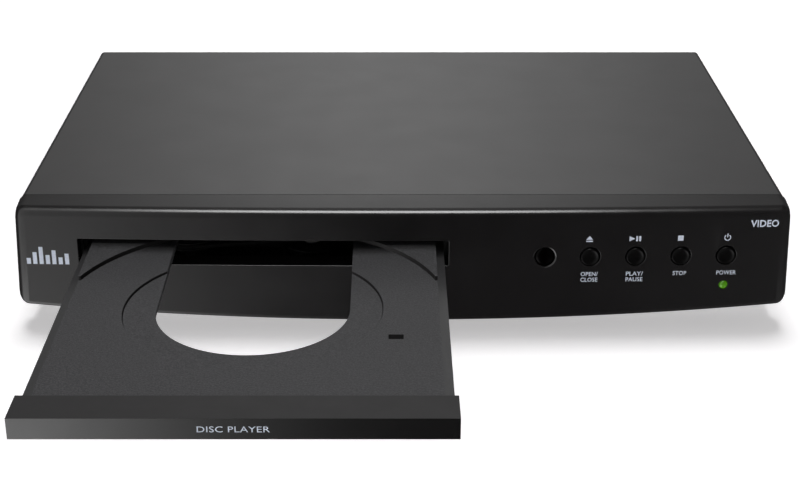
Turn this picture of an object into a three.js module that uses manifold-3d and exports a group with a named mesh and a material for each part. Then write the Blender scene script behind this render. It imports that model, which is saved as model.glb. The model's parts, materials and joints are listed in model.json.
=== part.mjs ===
// A compact mains-powered disc player with a motorised tray, shown with its tray fully open.
// Millimetres. +Z is up, the front faces -Y and +X is to the right of someone facing the front.
// While it is built, y = 0 is the plane of the fascia's front at its two ends and z = 0 is the
// table. The whole player is then moved along Y so that its origin is under its middle.
import * as THREE from 'three';
import { mergeVertices } from 'three/addons/utils/BufferGeometryUtils.js';
import Module from 'manifold-3d';

const wasm = await Module();
wasm.setup();

// Case
const HALF_WIDTH = 131;
const CASE_TOP = 46;
const CASE_BACK = 176.5;
const SEAM_Y = 10.4;
const SHEET = 0.8;
const GAP = 0.3;
const CHASSIS_BOTTOM = 8.6;
const CHASSIS_TOP = CHASSIS_BOTTOM + SHEET;
const REAR_PANEL_Y = 174.6;
const FOOT_RADIUS = 9;

// Fascia
const FASCIA_HALF = 131.8;
const FASCIA_WALL = 2.4;
const BOW = 2.8;
const FASCIA_BOTTOM_END = 9.3;
const FASCIA_BOTTOM_SAG = 5.2;
const LIP_SLOPE = 0.6;
// The fascia widens downwards by this share of its width for each millimetre below its top.
const SIDE_DRAFT = 0.0003;
const SLOT = { left: -110.6, right: 15.6, bottom: 25.2, top: 34.4 };

// Keys, window and light, all on the right half of the fascia
const KEY_Z = 28.3;
const KEY_X = [63.8, 79.3, 94.8, 110.3];
const KEY_NAMES = ['open_close', 'play_pause', 'stop', 'power'];
const KEY_HOLE_RADIUS = 3.65;
const KEY_RADIUS = 3.1;
const WINDOW_X = 48.3;
const LIGHT_Z = 17.1;
const KEY_BOARD_Y = 13.4;
const SWITCH_FRONT = 9.4;

// Tray, drawn in its open place
const TRAY_X = -47.3;
const TRAY_HALF = 61.2;
const TRAY_FRONT = -107;
const TRAY_BACK = 37;
const TRAY_TRAVEL = 116.5;
const FLOOR_TOP = 31.25;
const FLOOR_BOTTOM = 28.9;
const RAIL_TOP = 30.05;
const RAIL_WIDTH = 2.8;
const DISC_Y = -47.2;
const DISC_SEAT_RADIUS = 61;
const HOLE_RADIUS = 30.4;
const PANEL = { half: 62.2, front: -118.8, back: -105.9, bottom: 26.1, top: 32.7 };

// Tray drive
const MODULE = 1;
const RACK_PITCH_X = -100.2;
const DRIVE_TEETH = 20;
const PINION_TEETH = 10;
const DRIVE_Y = 24;
const DRIVE_X = RACK_PITCH_X + DRIVE_TEETH / 2;
const PULLEY_X = DRIVE_X + (DRIVE_TEETH + PINION_TEETH) / 2;
const PULLEY_RADIUS = 11;
const MOTOR = { x: -32, y: 25, radius: 10, pulleyRadius: 4 };

// Loader and traverse. The traverse tilts about a line at its back end.
const LOADER = { left: -111.1, right: 16.5, front: 11, back: 158, bottom: 12, deck: 14, top: 34 };
const SPINDLE_Y = DISC_Y + TRAY_TRAVEL;
const PIVOT_Y = 148;
const PIVOT_Z = 19;
const TILT = THREE.MathUtils.degToRad(3.5);
const DECK = { bottom: 20, top: 22, half: 33, front: 49 };
const ROD_OFFSET = 21;
const ROD_Z = 24.5;
const SCREW_OFFSET = 26.5;
const SCREW_Z = 24;
const PICKUP_Y = SPINDLE_Y + 24.7;
const CAM_TRAVEL = 12;
const PIN_Y = 42.5;
const PIN_Z = 24;

// Boards
const BOARD_BOTTOM = 14;
const BOARD_TOP = 15.6;
const MAIN_BOARD = { left: 30, right: 83, front: 80, back: 172 };
const POWER_BOARD = { left: 88, right: 126, front: 60, back: 172 };

// ---------------------------------------------------------------- solids

// Turns closed geometry into a solid whose faces point outwards.
function solid(geometry) {
  const bare = geometry.clone();
  bare.deleteAttribute('normal');
  bare.deleteAttribute('uv');
  const merged = mergeVertices(bare, 1e-4);
  const points = new Float32Array(merged.attributes.position.array);
  const corners = new Uint32Array(merged.index.array);
  if (signedVolume(points, corners) < 0) {
    for (let i = 0; i < corners.length; i += 3) {
      [corners[i], corners[i + 1]] = [corners[i + 1], corners[i]];
    }
  }
  return new wasm.Manifold(new wasm.Mesh({ numProp: 3, vertProperties: points, triVerts: corners }));
}

function signedVolume(points, corners) {
  const [a, b, c] = [new THREE.Vector3(), new THREE.Vector3(), new THREE.Vector3()];
  let total = 0;
  for (let i = 0; i < corners.length; i += 3) {
    a.fromArray(points, 3 * corners[i]);
    b.fromArray(points, 3 * corners[i + 1]);
    c.fromArray(points, 3 * corners[i + 2]);
    total += a.dot(b.cross(c));
  }
  return total;
}

function join(...pieces) {
  return pieces.flat().reduce((whole, piece) => whole.add(piece));
}

function cut(whole, ...tools) {
  return tools.flat().reduce((rest, tool) => rest.subtract(tool), whole);
}

function block(x0, x1, y0, y1, z0, z1) {
  const geometry = new THREE.BoxGeometry(x1 - x0, y1 - y0, z1 - z0);
  geometry.translate((x0 + x1) / 2, (y0 + y1) / 2, (z0 + z1) / 2);
  return solid(geometry);
}

function roundX(y, z, x0, x1, radius, sides = 20) {
  const geometry = new THREE.CylinderGeometry(radius, radius, x1 - x0, sides);
  geometry.rotateZ(Math.PI / 2);
  geometry.translate((x0 + x1) / 2, y, z);
  return solid(geometry);
}

function roundY(x, z, y0, y1, radius, sides = 20) {
  const geometry = new THREE.CylinderGeometry(radius, radius, y1 - y0, sides);
  geometry.translate(x, (y0 + y1) / 2, z);
  return solid(geometry);
}

function roundZ(x, y, z0, z1, radius, sides = 20) {
  const geometry = new THREE.CylinderGeometry(radius, radius, z1 - z0, sides);
  geometry.rotateX(Math.PI / 2);
  geometry.translate(x, y, (z0 + z1) / 2);
  return solid(geometry);
}

// Turned about a line along Z. The profile is a list of [radius, height].
function turnedZ(x, y, profile, sides = 28) {
  const geometry = new THREE.LatheGeometry(profile.map(([r, h]) => new THREE.Vector2(r, h)), sides);
  geometry.rotateX(Math.PI / 2);
  geometry.translate(x, y, 0);
  return solid(geometry);
}

// Turned about a line along Y. The profile is a list of [radius, y].
function turnedY(x, z, profile, sides = 28) {
  const geometry = new THREE.LatheGeometry(profile.map(([r, h]) => new THREE.Vector2(r, h)), sides);
  geometry.translate(x, 0, z);
  return solid(geometry);
}

function extrudedZ(shape, z0, z1, curveSegments = 8) {
  const geometry = new THREE.ExtrudeGeometry(shape, { depth: z1 - z0, bevelEnabled: false, curveSegments });
  geometry.translate(0, 0, z0);
  return solid(geometry);
}

// The shape's x and y become X and Z.
function extrudedY(shape, y0, y1, curveSegments = 8) {
  const geometry = new THREE.ExtrudeGeometry(shape, { depth: y1 - y0, bevelEnabled: false, curveSegments });
  geometry.rotateX(Math.PI / 2);
  geometry.translate(0, y1, 0);
  return solid(geometry);
}

function polygon(points) {
  return new THREE.Shape(points.map(([u, v]) => new THREE.Vector2(u, v)));
}

function roundedShape(u0, u1, v0, v1, radius) {
  const shape = new THREE.Shape();
  shape.moveTo(u0 + radius, v0);
  shape.lineTo(u1 - radius, v0);
  shape.absarc(u1 - radius, v0 + radius, radius, -Math.PI / 2, 0);
  shape.lineTo(u1, v1 - radius);
  shape.absarc(u1 - radius, v1 - radius, radius, 0, Math.PI / 2);
  shape.lineTo(u0 + radius, v1);
  shape.absarc(u0 + radius, v1 - radius, radius, Math.PI / 2, Math.PI);
  shape.lineTo(u0, v0 + radius);
  shape.absarc(u0 + radius, v0 + radius, radius, Math.PI, Math.PI * 1.5);
  return shape;
}

// ---------------------------------------------------------------- materials and meshes

const LOOKS = {
  coverPaint: [0x3a3b3c, 0.45, 0.3],
  fasciaGloss: [0x0b0b0c, 0.22, 0.0],
  trayPlastic: [0x2b2c2d, 0.75, 0.0],
  keyPlastic: [0x0d0d0e, 0.35, 0.0],
  windowGlass: [0x050505, 0.08, 0.0],
  greenLens: [0x3fae35, 0.3, 0.0],
  zincSteel: [0xa9adb0, 0.4, 0.9],
  chrome: [0xd9dadb, 0.15, 1.0],
  blackPlastic: [0x161617, 0.6, 0.0],
  greyPlastic: [0x6b6e70, 0.6, 0.0],
  whitePlastic: [0xdddcd6, 0.5, 0.0],
  rubber: [0x111111, 0.9, 0.0],
  greenBoard: [0x1f5a33, 0.5, 0.0],
  paleBoard: [0xb08a4a, 0.6, 0.0],
  aluminium: [0xb9bcbe, 0.4, 0.9],
  capacitorSleeve: [0x1b2430, 0.4, 0.0],
  coilTape: [0xd9b430, 0.5, 0.0],
  lensGlass: [0x8fb8d8, 0.05, 0.0],
};

const player = new THREE.Group();
player.name = 'disc_player';

function place(name, look, shape) {
  const mesh = shape.getMesh();
  const geometry = new THREE.BufferGeometry();
  geometry.setAttribute('position', new THREE.BufferAttribute(mesh.vertProperties, 3));
  geometry.setIndex(new THREE.BufferAttribute(mesh.triVerts, 1));
  geometry.computeVertexNormals();
  const [color, roughness, metalness] = LOOKS[look];
  const material = new THREE.MeshStandardMaterial({ color, roughness, metalness, flatShading: true });
  const node = new THREE.Mesh(geometry, material);
  node.name = name;
  player.add(node);
}

// ---------------------------------------------------------------- case

function archShape(half, bottom, top, radius) {
  const shape = new THREE.Shape();
  shape.moveTo(-half, bottom);
  shape.lineTo(half, bottom);
  shape.lineTo(half, top - radius);
  shape.absarc(half - radius, top - radius, radius, 0, Math.PI / 2);
  shape.lineTo(-half + radius, top);
  shape.absarc(-half + radius, top - radius, radius, Math.PI / 2, Math.PI);
  return shape;
}

const REAR_SCREW_X = [-112, 118];
const REAR_SCREW_Z = 41.6;

// One folded sheet: the top, both sides and a short lip down over the rear panel.
function topCover() {
  const bottom = 9.8;
  const lipBottom = 38;
  const outside = extrudedY(archShape(HALF_WIDTH, bottom, CASE_TOP, 1.8), SEAM_Y + GAP, CASE_BACK, 4);
  const insideTop = CASE_TOP - SHEET;
  const insideBack = CASE_BACK - SHEET;
  const inside = extrudedY(archShape(HALF_WIDTH - SHEET, 0, insideTop, 1), 0, insideBack, 4);
  const belowLip = block(-HALF_WIDTH + SHEET, HALF_WIDTH - SHEET, 170, 180, 0, lipBottom);
  const screwHoles = REAR_SCREW_X.map((x) => roundY(x, REAR_SCREW_Z, 170, 180, 1.8, 12));
  const vents = [];
  for (let i = 0; i < 8; i += 1) {
    const y = 66 + 10 * i;
    vents.push(block(-140, 140, y, y + 3, 22, 34));
  }
  return cut(outside, inside, belowLip, screwHoles, vents);
}

function standoff(x, y, top) {
  return roundZ(x, y, CHASSIS_BOTTOM, top, 3, 10);
}

// The bottom pan, with a raised edge on each side and the posts that the boards and loader stand on.
function bottomChassis() {
  const half = 129.5;
  const back = REAR_PANEL_Y;
  const front = 15.6;
  const plate = block(-half, half, front, back, CHASSIS_BOTTOM, CHASSIS_TOP);
  const apron = block(-half + 4, half - 4, SEAM_Y + GAP, front + 1, CHASSIS_BOTTOM, CHASSIS_TOP);
  const edges = [-1, 1].map((side) => {
    const outer = side * half;
    const inner = side * (half - SHEET);
    return block(Math.min(outer, inner), Math.max(outer, inner), front, back, CHASSIS_BOTTOM, 20);
  });
  const boardPosts = [];
  for (const board of [MAIN_BOARD, POWER_BOARD]) {
    for (const x of [board.left + 5, board.right - 5]) {
      for (const y of [board.front + 5, board.back - 12]) {
        boardPosts.push(standoff(x, y, BOARD_BOTTOM));
      }
    }
  }
  const loaderPosts = [];
  for (const x of [-100, 8]) {
    for (const y of [50, 146]) {
      loaderPosts.push(standoff(x, y, LOADER.bottom));
    }
  }
  const vents = [];
  for (let i = 0; i < 8; i += 1) {
    vents.push(block(97.5, 116.5, 74 + 8 * i, 76.6 + 8 * i, 0, 12));
  }
  return cut(join(plate, apron, edges, boardPosts, loaderPosts), vents);
}

const INLET = { x: 106, z: 22.8, halfWidth: 10, halfHeight: 7 };
const VIDEO = { x: 38, z: 20 };
const JACK_COLUMNS = [58, 73];
const JACK_ROWS = [20.5, 33];
const JACK_RADIUS = 4.2;

// The steel back wall, with an opening for each connector.
function rearPanel() {
  const plate = block(-129.4, 129.4, REAR_PANEL_Y, REAR_PANEL_Y + SHEET, 9.8, 44.6);
  const inletHole = block(
    INLET.x - INLET.halfWidth - 0.4,
    INLET.x + INLET.halfWidth + 0.4,
    170,
    180,
    INLET.z - INLET.halfHeight - 0.4,
    INLET.z + INLET.halfHeight + 0.4,
  );
  const videoHole = block(VIDEO.x - 8, VIDEO.x + 8, 170, 180, 15.2, 24);
  const jackHoles = JACK_COLUMNS.flatMap((x) => JACK_ROWS.map((z) => roundY(x, z, 170, 180, 4.8, 18)));
  const screwHoles = REAR_SCREW_X.map((x) => roundY(x, REAR_SCREW_Z, 170, 180, 1.6, 12));
  const vents = [];
  for (let i = 0; i < 8; i += 1) {
    vents.push(block(-88 + 9 * i, -85 + 9 * i, 170, 180, 20, 34));
  }
  return cut(plate, inletHole, videoHole, jackHoles, screwHoles, vents);
}

function foot(x, y) {
  const profile = [[0, 0], [FOOT_RADIUS - 1, 0], [FOOT_RADIUS, 1], [FOOT_RADIUS - 0.8, CHASSIS_BOTTOM], [0, CHASSIS_BOTTOM]];
  return turnedZ(x, y, profile, 16);
}

// Pan-head screw whose axis lies along Y, with its head outside the back.
function rearScrew(x) {
  const head = CASE_BACK + 0.05;
  const profile = [
    [0, REAR_PANEL_Y - 4],
    [1.2, REAR_PANEL_Y - 4],
    [1.2, head],
    [3.1, head],
    [3.1, head + 0.9],
    [2.2, head + 1.7],
    [0, head + 1.7],
  ];
  const body = turnedY(x, REAR_SCREW_Z, profile, 12);
  const slots = [
    block(x - 1.7, x + 1.7, head + 0.8, head + 3, REAR_SCREW_Z - 0.35, REAR_SCREW_Z + 0.35),
    block(x - 0.35, x + 0.35, head + 0.8, head + 3, REAR_SCREW_Z - 1.7, REAR_SCREW_Z + 1.7),
  ];
  return cut(body, slots);
}

place('top_cover', 'coverPaint', topCover());
place('bottom_chassis', 'zincSteel', bottomChassis());
place('rear_panel', 'coverPaint', rearPanel());
place('foot_front_left', 'rubber', foot(-108, 34));
place('foot_front_right', 'rubber', foot(108, 34));
place('foot_rear_left', 'rubber', foot(-108, 152));
place('foot_rear_right', 'rubber', foot(108, 152));
place('cover_screw_left', 'blackPlastic', rearScrew(REAR_SCREW_X[0]));
place('cover_screw_right', 'blackPlastic', rearScrew(REAR_SCREW_X[1]));

// ---------------------------------------------------------------- fascia

// How far forward the front face stands at x, as a y value.
function frontFace(x) {
  return -BOW * (1 - (x / HALF_WIDTH) ** 2);
}

function bottomEdge(x) {
  return FASCIA_BOTTOM_END - FASCIA_BOTTOM_SAG * (1 - (x / HALF_WIDTH) ** 2);
}

function cornerInset(x, half, radius) {
  const past = Math.max(0, Math.abs(x) - (half - radius));
  return radius - Math.sqrt(Math.max(0, radius * radius - past * past));
}

function arcPoints(y, z, radius, from, to, steps) {
  const points = [];
  for (let i = 0; i <= steps; i += 1) {
    const angle = THREE.MathUtils.degToRad(from + ((to - from) * i) / steps);
    points.push([y + radius * Math.cos(angle), z + radius * Math.sin(angle)]);
  }
  return points;
}

// The fascia's cross-section at x, drawn in by wall, from its bottom back corner round the front.
function fasciaSection(x, half, wall, back, steps) {
  const front = frontFace(x) + wall + cornerInset(x, half, 4);
  const bottom = bottomEdge(x) + wall + cornerInset(x, half, 3.7);
  const top = CASE_TOP - wall - cornerInset(x, half, 3);
  const [low, high] = [Math.max(0.4, 1.6 - wall), Math.max(0.6, 3.2 - wall)];
  return [
    [back, bottom],
    ...arcPoints(front + low, bottom + low, low, 270, 180, Math.ceil(steps / 2)),
    ...arcPoints(front + high, top - LIP_SLOPE - high, high, 180, 90, steps),
    [back, top],
  ];
}

// A closed skin through the sections at every station, with the sides' draft and a cap at both ends.
function skinned(sections) {
  const points = [];
  const faces = [];
  const count = sections[0].points.length;
  sections.forEach(({ x, points: outline }) => outline.forEach(([y, z]) => (
    points.push(x * (1 + SIDE_DRAFT * (CASE_TOP - z)), y, z))));
  for (let s = 0; s + 1 < sections.length; s += 1) {
    for (let i = 0; i < count; i += 1) {
      const j = (i + 1) % count;
      const [a, b, c, d] = [s * count + i, s * count + j, (s + 1) * count + j, (s + 1) * count + i];
      faces.push(a, b, c, a, c, d);
    }
  }
  const last = (sections.length - 1) * count;
  for (let i = 1; i + 1 < count; i += 1) {
    faces.push(0, i + 1, i);
    faces.push(last, last + i, last + i + 1);
  }
  const geometry = new THREE.BufferGeometry();
  geometry.setAttribute('position', new THREE.Float32BufferAttribute(points, 3));
  geometry.setIndex(faces);
  return solid(geometry);
}

function fasciaStations(half, cornerSteps, middleSteps) {
  const corner = 4;
  const flat = half - corner;
  const stations = [];
  for (let i = cornerSteps; i > 0; i -= 1) {
    stations.push(-flat - corner * Math.sin((i / cornerSteps) * (Math.PI / 2)));
  }
  for (let i = 0; i <= middleSteps; i += 1) {
    stations.push(-flat + (2 * flat * i) / middleSteps);
  }
  for (let i = 1; i <= cornerSteps; i += 1) {
    stations.push(flat + corner * Math.sin((i / cornerSteps) * (Math.PI / 2)));
  }
  return stations;
}

// The moulded front: a bowed face with a turned-back rim that meets the cover at the seam.
function frontFascia() {
  const outerStations = fasciaStations(FASCIA_HALF, 4, 12);
  const outside = skinned(outerStations.map((x) => (
    { x, points: fasciaSection(x, FASCIA_HALF, 0, SEAM_Y, 5) })));
  const innerHalf = FASCIA_HALF - FASCIA_WALL;
  const inside = skinned(fasciaStations(innerHalf, 2, 12).map((x) => (
    { x, points: fasciaSection(x, innerHalf, FASCIA_WALL, SEAM_Y + 1, 2) })));
  const sleeve = block(SLOT.left - 1.6, SLOT.right + 1.6, -0.4, 5.6, SLOT.bottom - 1.6, SLOT.top + 1.6);
  const slot = block(SLOT.left, SLOT.right, -10, 10, SLOT.bottom, SLOT.top);
  const tongueTop = block(-125, 125, 8, 15, 42.9, 44.9);
  const tongueSides = [-1, 1].map((side) => {
    const [inner, outer, root] = [side * 127.6, side * 129.7, side * 131.2];
    return join(
      block(Math.min(inner, outer), Math.max(inner, outer), 8, 15, 14, 41),
      block(Math.min(inner, root), Math.max(inner, root), 8, 10.2, 14, 41),
    );
  });
  const boardPosts = [56, 102].map((x) => roundY(x, 38, -0.4, KEY_BOARD_Y, 2.4, 12));
  const keyHoles = KEY_X.map((x) => roundY(x, KEY_Z, -10, 10, KEY_HOLE_RADIUS, 18));
  const windowHole = roundY(WINDOW_X, KEY_Z, -10, 10, 3.65, 18);
  const windowRing = roundY(WINDOW_X, KEY_Z, -10, frontFace(WINDOW_X) + 0.5, 3.95, 18);
  const lightHole = roundY(KEY_X[3], LIGHT_Z, -10, 10, 1.75, 16);
  const shell = join(cut(outside, inside), sleeve, tongueTop, tongueSides, boardPosts);
  return cut(shell, slot, keyHoles, windowHole, windowRing, lightHole);
}

// A round key: its cap, a collar behind the fascia's wall and a stem towards its switch.
function key(x) {
  const face = frontFace(x);
  const cap = face - 0.5;
  const behind = face + FASCIA_WALL + 0.6;
  const profile = [
    [0, cap + 0.25],
    [2.5, cap],
    [KEY_RADIUS, cap + 0.4],
    [KEY_RADIUS, behind],
    [4.7, behind],
    [4.7, behind + 1],
    [1.7, behind + 1],
    [1.7, SWITCH_FRONT - 1],
    [0, SWITCH_FRONT - 1],
  ];
  return turnedY(x, KEY_Z, profile, 18);
}

function remoteWindow() {
  const face = frontFace(WINDOW_X);
  const behind = face + FASCIA_WALL + 0.6;
  const profile = [
    [0, face + 0.35],
    [2.8, face + 0.4],
    [3.35, face + 0.8],
    [3.35, behind],
    [4.6, behind],
    [4.6, behind + 1],
    [0, behind + 1],
  ];
  return turnedY(WINDOW_X, KEY_Z, profile, 18);
}

// The clear green rod that carries the light from the key board to the face.
function lightPipe() {
  const face = frontFace(KEY_X[3]);
  const behind = face + FASCIA_WALL + 0.5;
  const profile = [
    [0, face - 0.5],
    [1, face - 0.25],
    [1.45, face + 0.4],
    [1.45, behind],
    [2.3, behind],
    [2.3, behind + 1],
    [1.45, behind + 1],
    [1.45, 11.8],
    [0, 11.8],
  ];
  return turnedY(KEY_X[3], LIGHT_Z, profile, 12);
}

function keyBoard() {
  const plate = block(40, 120, KEY_BOARD_Y, KEY_BOARD_Y + 1.6, 12.6, 42);
  const holes = [56, 102].map((x) => roundY(x, 38, 10, 20, 1.2, 10));
  return cut(plate, holes);
}

function tactSwitch(x) {
  const body = block(x - 3, x + 3, SWITCH_FRONT + 0.7, KEY_BOARD_Y, KEY_Z - 3, KEY_Z + 3);
  const plunger = roundY(x, KEY_Z, SWITCH_FRONT, KEY_BOARD_Y - 1, 1.7, 14);
  return join(body, plunger);
}

function remoteReceiver() {
  const body = block(WINDOW_X - 2.7, WINDOW_X + 2.7, 9.4, KEY_BOARD_Y, KEY_Z - 3.4, KEY_Z + 3.4);
  const eye = roundY(WINDOW_X, KEY_Z, 7.6, 10, 2.2, 14);
  return join(body, eye);
}

place('front_fascia', 'fasciaGloss', frontFascia());
place('remote_window', 'windowGlass', remoteWindow());
place('power_light_pipe', 'greenLens', lightPipe());
KEY_X.forEach((x, i) => place(`key_${KEY_NAMES[i]}`, 'keyPlastic', key(x)));
place('key_board', 'paleBoard', keyBoard());
KEY_X.forEach((x, i) => place(`switch_${KEY_NAMES[i]}`, 'blackPlastic', tactSwitch(x)));
place('remote_receiver', 'blackPlastic', remoteReceiver());
place('power_led', 'whitePlastic', block(KEY_X[3] - 1.6, KEY_X[3] + 1.6, 12.3, KEY_BOARD_Y, LIGHT_Z - 1, LIGHT_Z + 1));

// ---------------------------------------------------------------- tray

// A straight-sided rack or gear tooth is thinner than half the pitch, which leaves running play.
const TOOTH = { tip: 0.28, root: 0.95, above: 0.9, below: 1.15 };

function rack(length) {
  const pitch = Math.PI * MODULE;
  const back = RACK_PITCH_X - 3.6;
  const rootX = RACK_PITCH_X - TOOTH.below;
  const tipX = RACK_PITCH_X + TOOTH.above;
  const first = DRIVE_Y + 3 * pitch;
  const outline = [[back, first + 1.5], [back, first - length]];
  const teeth = Math.floor(length / pitch);
  for (let i = teeth - 1; i >= 0; i -= 1) {
    const y = first - i * pitch;
    outline.push([rootX, y - TOOTH.root], [tipX, y - TOOTH.tip], [tipX, y + TOOTH.tip], [rootX, y + TOOTH.root]);
  }
  outline.push([rootX, first + 1.5]);
  return extrudedZ(polygon(outline), 26.3, FLOOR_BOTTOM + 0.2);
}

// The plan of the tray, with the open keyhole that the spindle and the pickup reach through.
function trayPlan() {
  const shape = new THREE.Shape();
  const [left, right] = [TRAY_X - TRAY_HALF, TRAY_X + TRAY_HALF];
  shape.moveTo(left, TRAY_FRONT);
  shape.lineTo(right, TRAY_FRONT);
  shape.lineTo(right, TRAY_BACK - 3);
  shape.absarc(right - 3, TRAY_BACK - 3, 3, 0, Math.PI / 2);
  shape.lineTo(TRAY_X + HOLE_RADIUS, TRAY_BACK);
  shape.lineTo(TRAY_X + HOLE_RADIUS, DISC_Y);
  shape.absarc(TRAY_X, DISC_Y, HOLE_RADIUS, 0, -Math.PI, true);
  shape.lineTo(TRAY_X - HOLE_RADIUS, TRAY_BACK);
  shape.lineTo(left + 3, TRAY_BACK);
  shape.absarc(left + 3, TRAY_BACK - 3, 3, Math.PI / 2, Math.PI);
  return shape;
}

function discTray() {
  const [left, right] = [TRAY_X - TRAY_HALF, TRAY_X + TRAY_HALF];
  const floor = extrudedZ(trayPlan(), FLOOR_BOTTOM, FLOOR_TOP, 24);
  const corners = extrudedZ(trayPlan(), FLOOR_TOP - 0.3, 32.75, 24);
  const discSeat = roundZ(TRAY_X, DISC_Y, FLOOR_TOP, 40, DISC_SEAT_RADIUS, 60);
  const frontHalf = block(left - 1, right + 1, TRAY_FRONT - 20, DISC_Y + 20, FLOOR_TOP, 40);
  const smallSeat = turnedZ(TRAY_X, DISC_Y, [[0, 30.25], [40, 30.25], [41.1, FLOOR_TOP], [41.1, 35], [0, 35]], 44);
  const railTops = [
    block(left - 1, left + RAIL_WIDTH, TRAY_FRONT - 1, TRAY_BACK + 1, RAIL_TOP, 40),
    block(right - RAIL_WIDTH, right + 1, TRAY_FRONT - 1, TRAY_BACK + 1, RAIL_TOP, 40),
  ];
  const skirts = [
    block(left, left + 1.4, TRAY_FRONT, TRAY_BACK - 4, 27.2, FLOOR_BOTTOM + 0.2),
    block(right - 1.4, right, TRAY_FRONT, TRAY_BACK - 4, 27.2, FLOOR_BOTTOM + 0.2),
  ];
  const guideRib = block(5.6, 7.2, TRAY_FRONT + 6, TRAY_BACK - 6, 27.2, FLOOR_BOTTOM + 0.2);
  const tab = block(TRAY_X - 57, TRAY_X + 57, PANEL.front + 2.2, TRAY_FRONT + 1, 28.2, 30.6);
  const markHole = block(-4.9, -0.2, -68.8, -65.8, 20, 40);
  const body = join(cut(join(floor, corners), discSeat, frontHalf, smallSeat, railTops), skirts, guideRib, tab);
  return cut(join(body, rack(TRAY_TRAVEL + 14)), markHole);
}

// The trim on the tray's front edge: a hollow bar, open at its back and underneath.
function trayPanel() {
  const [left, right] = [TRAY_X - PANEL.half, TRAY_X + PANEL.half];
  const bar = block(left, right, PANEL.front, PANEL.back, PANEL.bottom, PANEL.top);
  const hollow = block(left + 1.6, right - 1.6, PANEL.front + 1.8, PANEL.back + 1, PANEL.bottom + 1.4, PANEL.top - 1.4);
  const behindRails = block(left - 1, right + 1, TRAY_FRONT - 0.3, PANEL.back + 1, 20, PANEL.top - 1.15);
  return cut(bar, hollow, behindRails);
}

place('disc_tray', 'trayPlastic', discTray());
place('tray_panel', 'fasciaGloss', trayPanel());

// ---------------------------------------------------------------- tray drive

function gearShape(teeth, turn) {
  const radius = (teeth * MODULE) / 2;
  const root = radius - TOOTH.below;
  const tip = radius + TOOTH.above;
  const outline = [];
  for (let i = 0; i < teeth; i += 1) {
    const angle = turn + (i * Math.PI * 2) / teeth;
    const at = (r, across) => {
      const a = angle + across / r;
      return [r * Math.cos(a), r * Math.sin(a)];
    };
    outline.push(at(root, -TOOTH.root), at(tip, -TOOTH.tip), at(tip, TOOTH.tip), at(root, TOOTH.root));
  }
  return polygon(outline);
}

function gearAt(x, y, teeth, turn, z0, z1) {
  return extrudedZ(gearShape(teeth, turn), z0, z1).translate([x, y, 0]);
}

const GEAR = { bottom: 26.4, top: 28.4 };
const AXLE_HOLE = 2.3;

function driveGear() {
  const toothless = Math.PI / DRIVE_TEETH;
  const wheel = gearAt(DRIVE_X, DRIVE_Y, DRIVE_TEETH, toothless, GEAR.bottom, GEAR.top);
  const hub = roundZ(DRIVE_X, DRIVE_Y, 24.2, GEAR.top, 3.6, 18);
  return cut(join(wheel, hub), roundZ(DRIVE_X, DRIVE_Y, 20, 30, AXLE_HOLE, 14));
}

// The grooved wheel that the belt turns, with the small gear on top that turns the drive gear.
function pulleyGear() {
  const groove = PULLEY_RADIUS - 1.6;
  const wheel = turnedZ(PULLEY_X, DRIVE_Y, [
    [0, 23.4], [PULLEY_RADIUS, 23.4], [PULLEY_RADIUS, 23.9], [groove, 24.3],
    [groove, 25.5], [PULLEY_RADIUS, 25.9], [PULLEY_RADIUS, 26.2], [0, 26.2],
  ], 26);
  const pinion = gearAt(PULLEY_X, DRIVE_Y, PINION_TEETH, 0, 26.1, GEAR.top);
  return cut(join(wheel, pinion), roundZ(PULLEY_X, DRIVE_Y, 20, 30, AXLE_HOLE, 14));
}

function motorPulley() {
  const { x, y, pulleyRadius: outer } = MOTOR;
  const groove = outer - 1.4;
  return turnedZ(x, y, [
    [0, 23.4], [outer, 23.4], [outer, 23.9], [groove, 24.3],
    [groove, 25.5], [outer, 25.9], [outer, 26.4], [0, 26.4],
  ], 16);
}

// A loop round two circles, as the outline of the belt's inner or outer side.
function beltShape(extra) {
  const big = PULLEY_RADIUS - 1.6 + extra;
  const small = MOTOR.pulleyRadius - 1.4 + extra;
  const across = Math.hypot(MOTOR.x - PULLEY_X, MOTOR.y - DRIVE_Y);
  const heading = Math.atan2(MOTOR.y - DRIVE_Y, MOTOR.x - PULLEY_X);
  const spread = Math.acos((big - small) / across);
  const shape = new THREE.Shape();
  shape.absarc(PULLEY_X, DRIVE_Y, big, heading + spread, heading - spread + Math.PI * 2, false);
  shape.absarc(MOTOR.x, MOTOR.y, small, heading - spread, heading + spread, false);
  return shape;
}

function belt() {
  return cut(extrudedZ(beltShape(1.5), 24.4, 25.4, 12), extrudedZ(beltShape(0.4), 20, 30, 12));
}

function loadingMotor() {
  const can = roundZ(MOTOR.x, MOTOR.y, LOADER.deck, 22.4, MOTOR.radius, 28);
  const boss = roundZ(MOTOR.x, MOTOR.y, 22, 23.1, 3, 14);
  return join(can, boss);
}

place('drive_gear', 'blackPlastic', driveGear());
place('pulley_gear', 'blackPlastic', pulleyGear());
place('motor_pulley', 'whitePlastic', motorPulley());
place('belt', 'rubber', belt());
place('loading_motor', 'blackPlastic', loadingMotor());

// ---------------------------------------------------------------- loader frame and cam

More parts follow.
